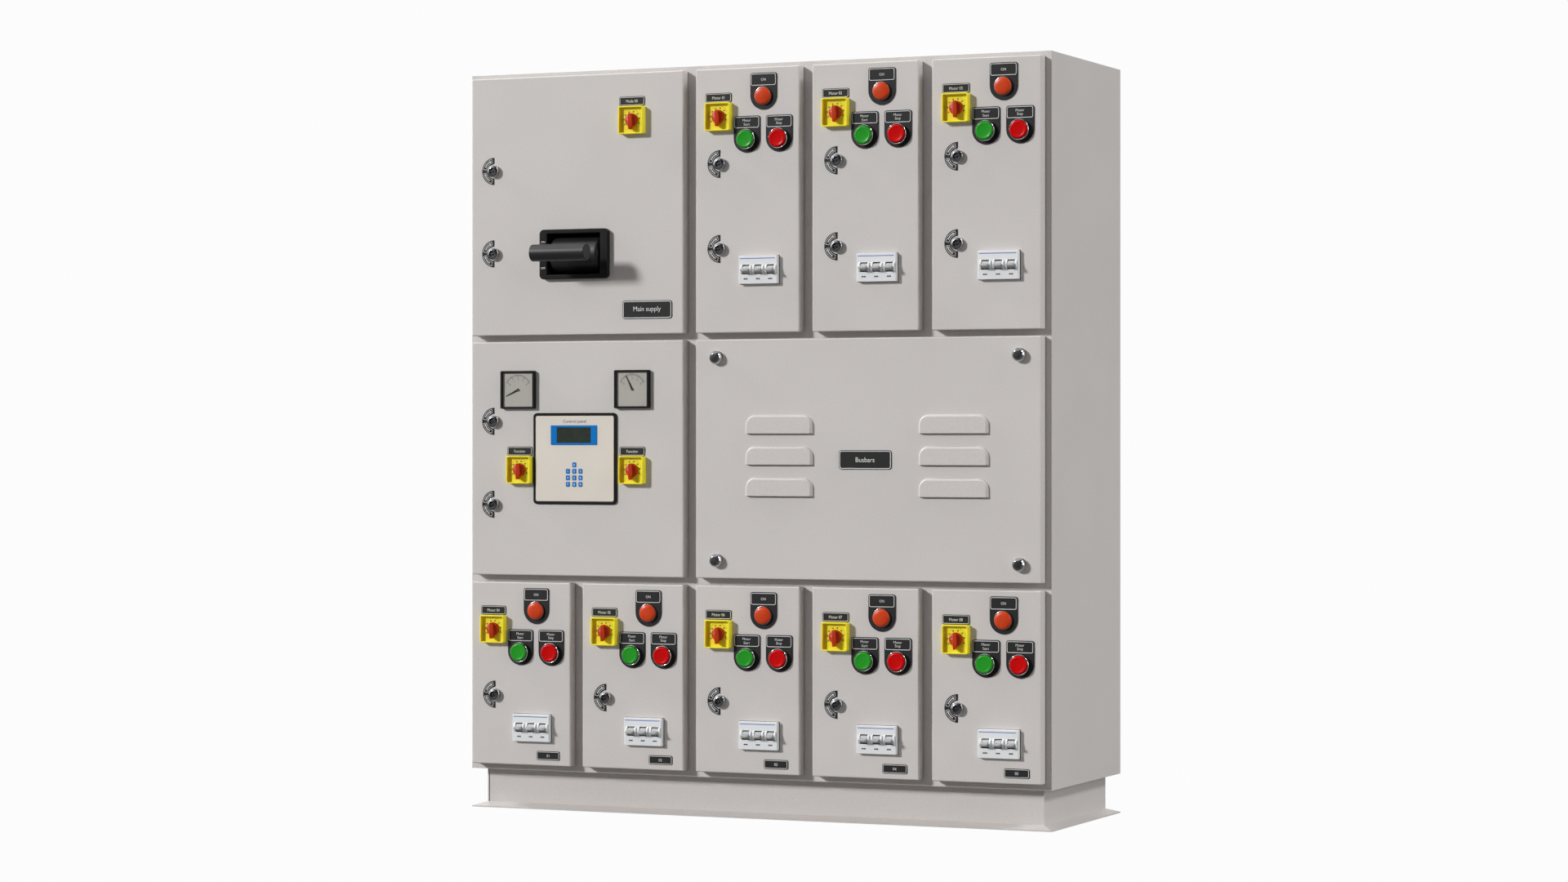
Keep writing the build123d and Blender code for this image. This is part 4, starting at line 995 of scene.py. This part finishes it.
# ------------------------------------------------------------------ stage, light and camera
bpy.ops.mesh.primitive_plane_add(size=80, location=(0, 0, 0))
floor = bpy.context.active_object
floor.name = "stage_floor"
fm = bpy.data.materials.new("stage_white")
fm.use_nodes = True
ft = fm.node_tree
fb = ft.nodes["Principled BSDF"]
fb.inputs["Roughness"].default_value = 0.9
fb.inputs["Specular IOR Level"].default_value = 0.1
fb.inputs["Base Color"].default_value = (0.20, 0.20, 0.20, 1)
fe = ft.nodes.new("ShaderNodeEmission")
fe.inputs["Strength"].default_value = 0.975
flp = ft.nodes.new("ShaderNodeLightPath")
fmix = ft.nodes.new("ShaderNodeMixShader")
ft.links.new(flp.outputs["Is Camera Ray"], fmix.inputs["Fac"])
ft.links.new(fb.outputs["BSDF"], fmix.inputs[1])
ft.links.new(fe.outputs["Emission"], fmix.inputs[2])
ft.links.new(fmix.outputs["Shader"], ft.nodes["Material Output"].inputs["Surface"])
floor.data.materials.append(fm)

world = bpy.data.worlds.new("studio")
bpy.context.scene.world = world
world.use_nodes = True
wt = world.node_tree
bg = wt.nodes["Background"]
bg.inputs["Color"].default_value = (1.0, 1.0, 1.0, 1)
bg.inputs["Strength"].default_value = 0.13
cam_bg = wt.nodes.new("ShaderNodeBackground")
cam_bg.inputs["Color"].default_value = (1, 1, 1, 1)
cam_bg.inputs["Strength"].default_value = 0.975
glo = wt.nodes.new("ShaderNodeBackground")
glo.inputs["Strength"].default_value = 2.1
tc = wt.nodes.new("ShaderNodeTexCoord")
dot = wt.nodes.new("ShaderNodeVectorMath")
dot.operation = "DOT_PRODUCT"
dot.inputs[1].default_value = (-0.80, 0.20, 0.57)
rp = wt.nodes.new("ShaderNodeValToRGB")
rp.color_ramp.elements[0].position = 0.62
rp.color_ramp.elements[0].color = (0.035, 0.035, 0.037, 1)
rp.color_ramp.elements[1].position = 0.90
rp.color_ramp.elements[1].color = (1, 1, 1, 1)
mr = wt.nodes.new("ShaderNodeMapRange")
mr.inputs["From Min"].default_value = -1.0
wt.links.new(tc.outputs["Generated"], dot.inputs[0])
wt.links.new(dot.outputs["Value"], mr.inputs["Value"])
wt.links.new(mr.outputs["Result"], rp.inputs["Fac"])
wt.links.new(rp.outputs["Color"], glo.inputs["Color"])
lp = wt.nodes.new("ShaderNodeLightPath")
m1 = wt.nodes.new("ShaderNodeMixShader")
m2 = wt.nodes.new("ShaderNodeMixShader")
wt.links.new(lp.outputs["Is Glossy Ray"], m1.inputs["Fac"])
wt.links.new(bg.outputs["Background"], m1.inputs[1])
wt.links.new(glo.outputs["Background"], m1.inputs[2])
wt.links.new(lp.outputs["Is Camera Ray"], m2.inputs["Fac"])
wt.links.new(m1.outputs["Shader"], m2.inputs[1])
wt.links.new(cam_bg.outputs["Background"], m2.inputs[2])
wt.links.new(m2.outputs["Shader"], wt.nodes["World Output"].inputs["Surface"])


def sun(name, energy, angle, travel):
    light = bpy.data.lights.new(name, "SUN")
    light.energy = energy
    light.angle = math.radians(angle)
    ob = bpy.data.objects.new(name, light)
    bpy.context.scene.collection.objects.link(ob)
    ob.rotation_euler = Vector(travel).to_track_quat("-Z", "Y").to_euler()


# key from the upper left in front, broad and high fills on the right, grazing rim light along left and top edges
sun("key", 2.80, 9, (0.640, 0.665, -0.383))
sun("fill", 1.15, 40, (-0.985, 0.03, -0.17))
sun("high", 1.36, 13, (-0.70, 0.03, -0.71))
sun("rim", 1.65, 10, (0.80, 0.04, -0.60))

cam = bpy.data.cameras.new("camera")
cam.sensor_width = 36.0
cam.lens = 86.08
cam.clip_end = 100
camo = bpy.data.objects.new("camera", cam)
bpy.context.scene.collection.objects.link(camo)
corner = Vector((BX1 * MM, F * MM, BZ0 * MM))
camo.location = corner + Vector((2.0527, -5.7360, 0.56707))
camo.rotation_euler = (math.radians(90), 0, math.radians(23.773))
bpy.context.scene.camera = camo
bpy.context.scene.view_settings.view_transform = "Standard"
bpy.context.scene.view_settings.look = "None"
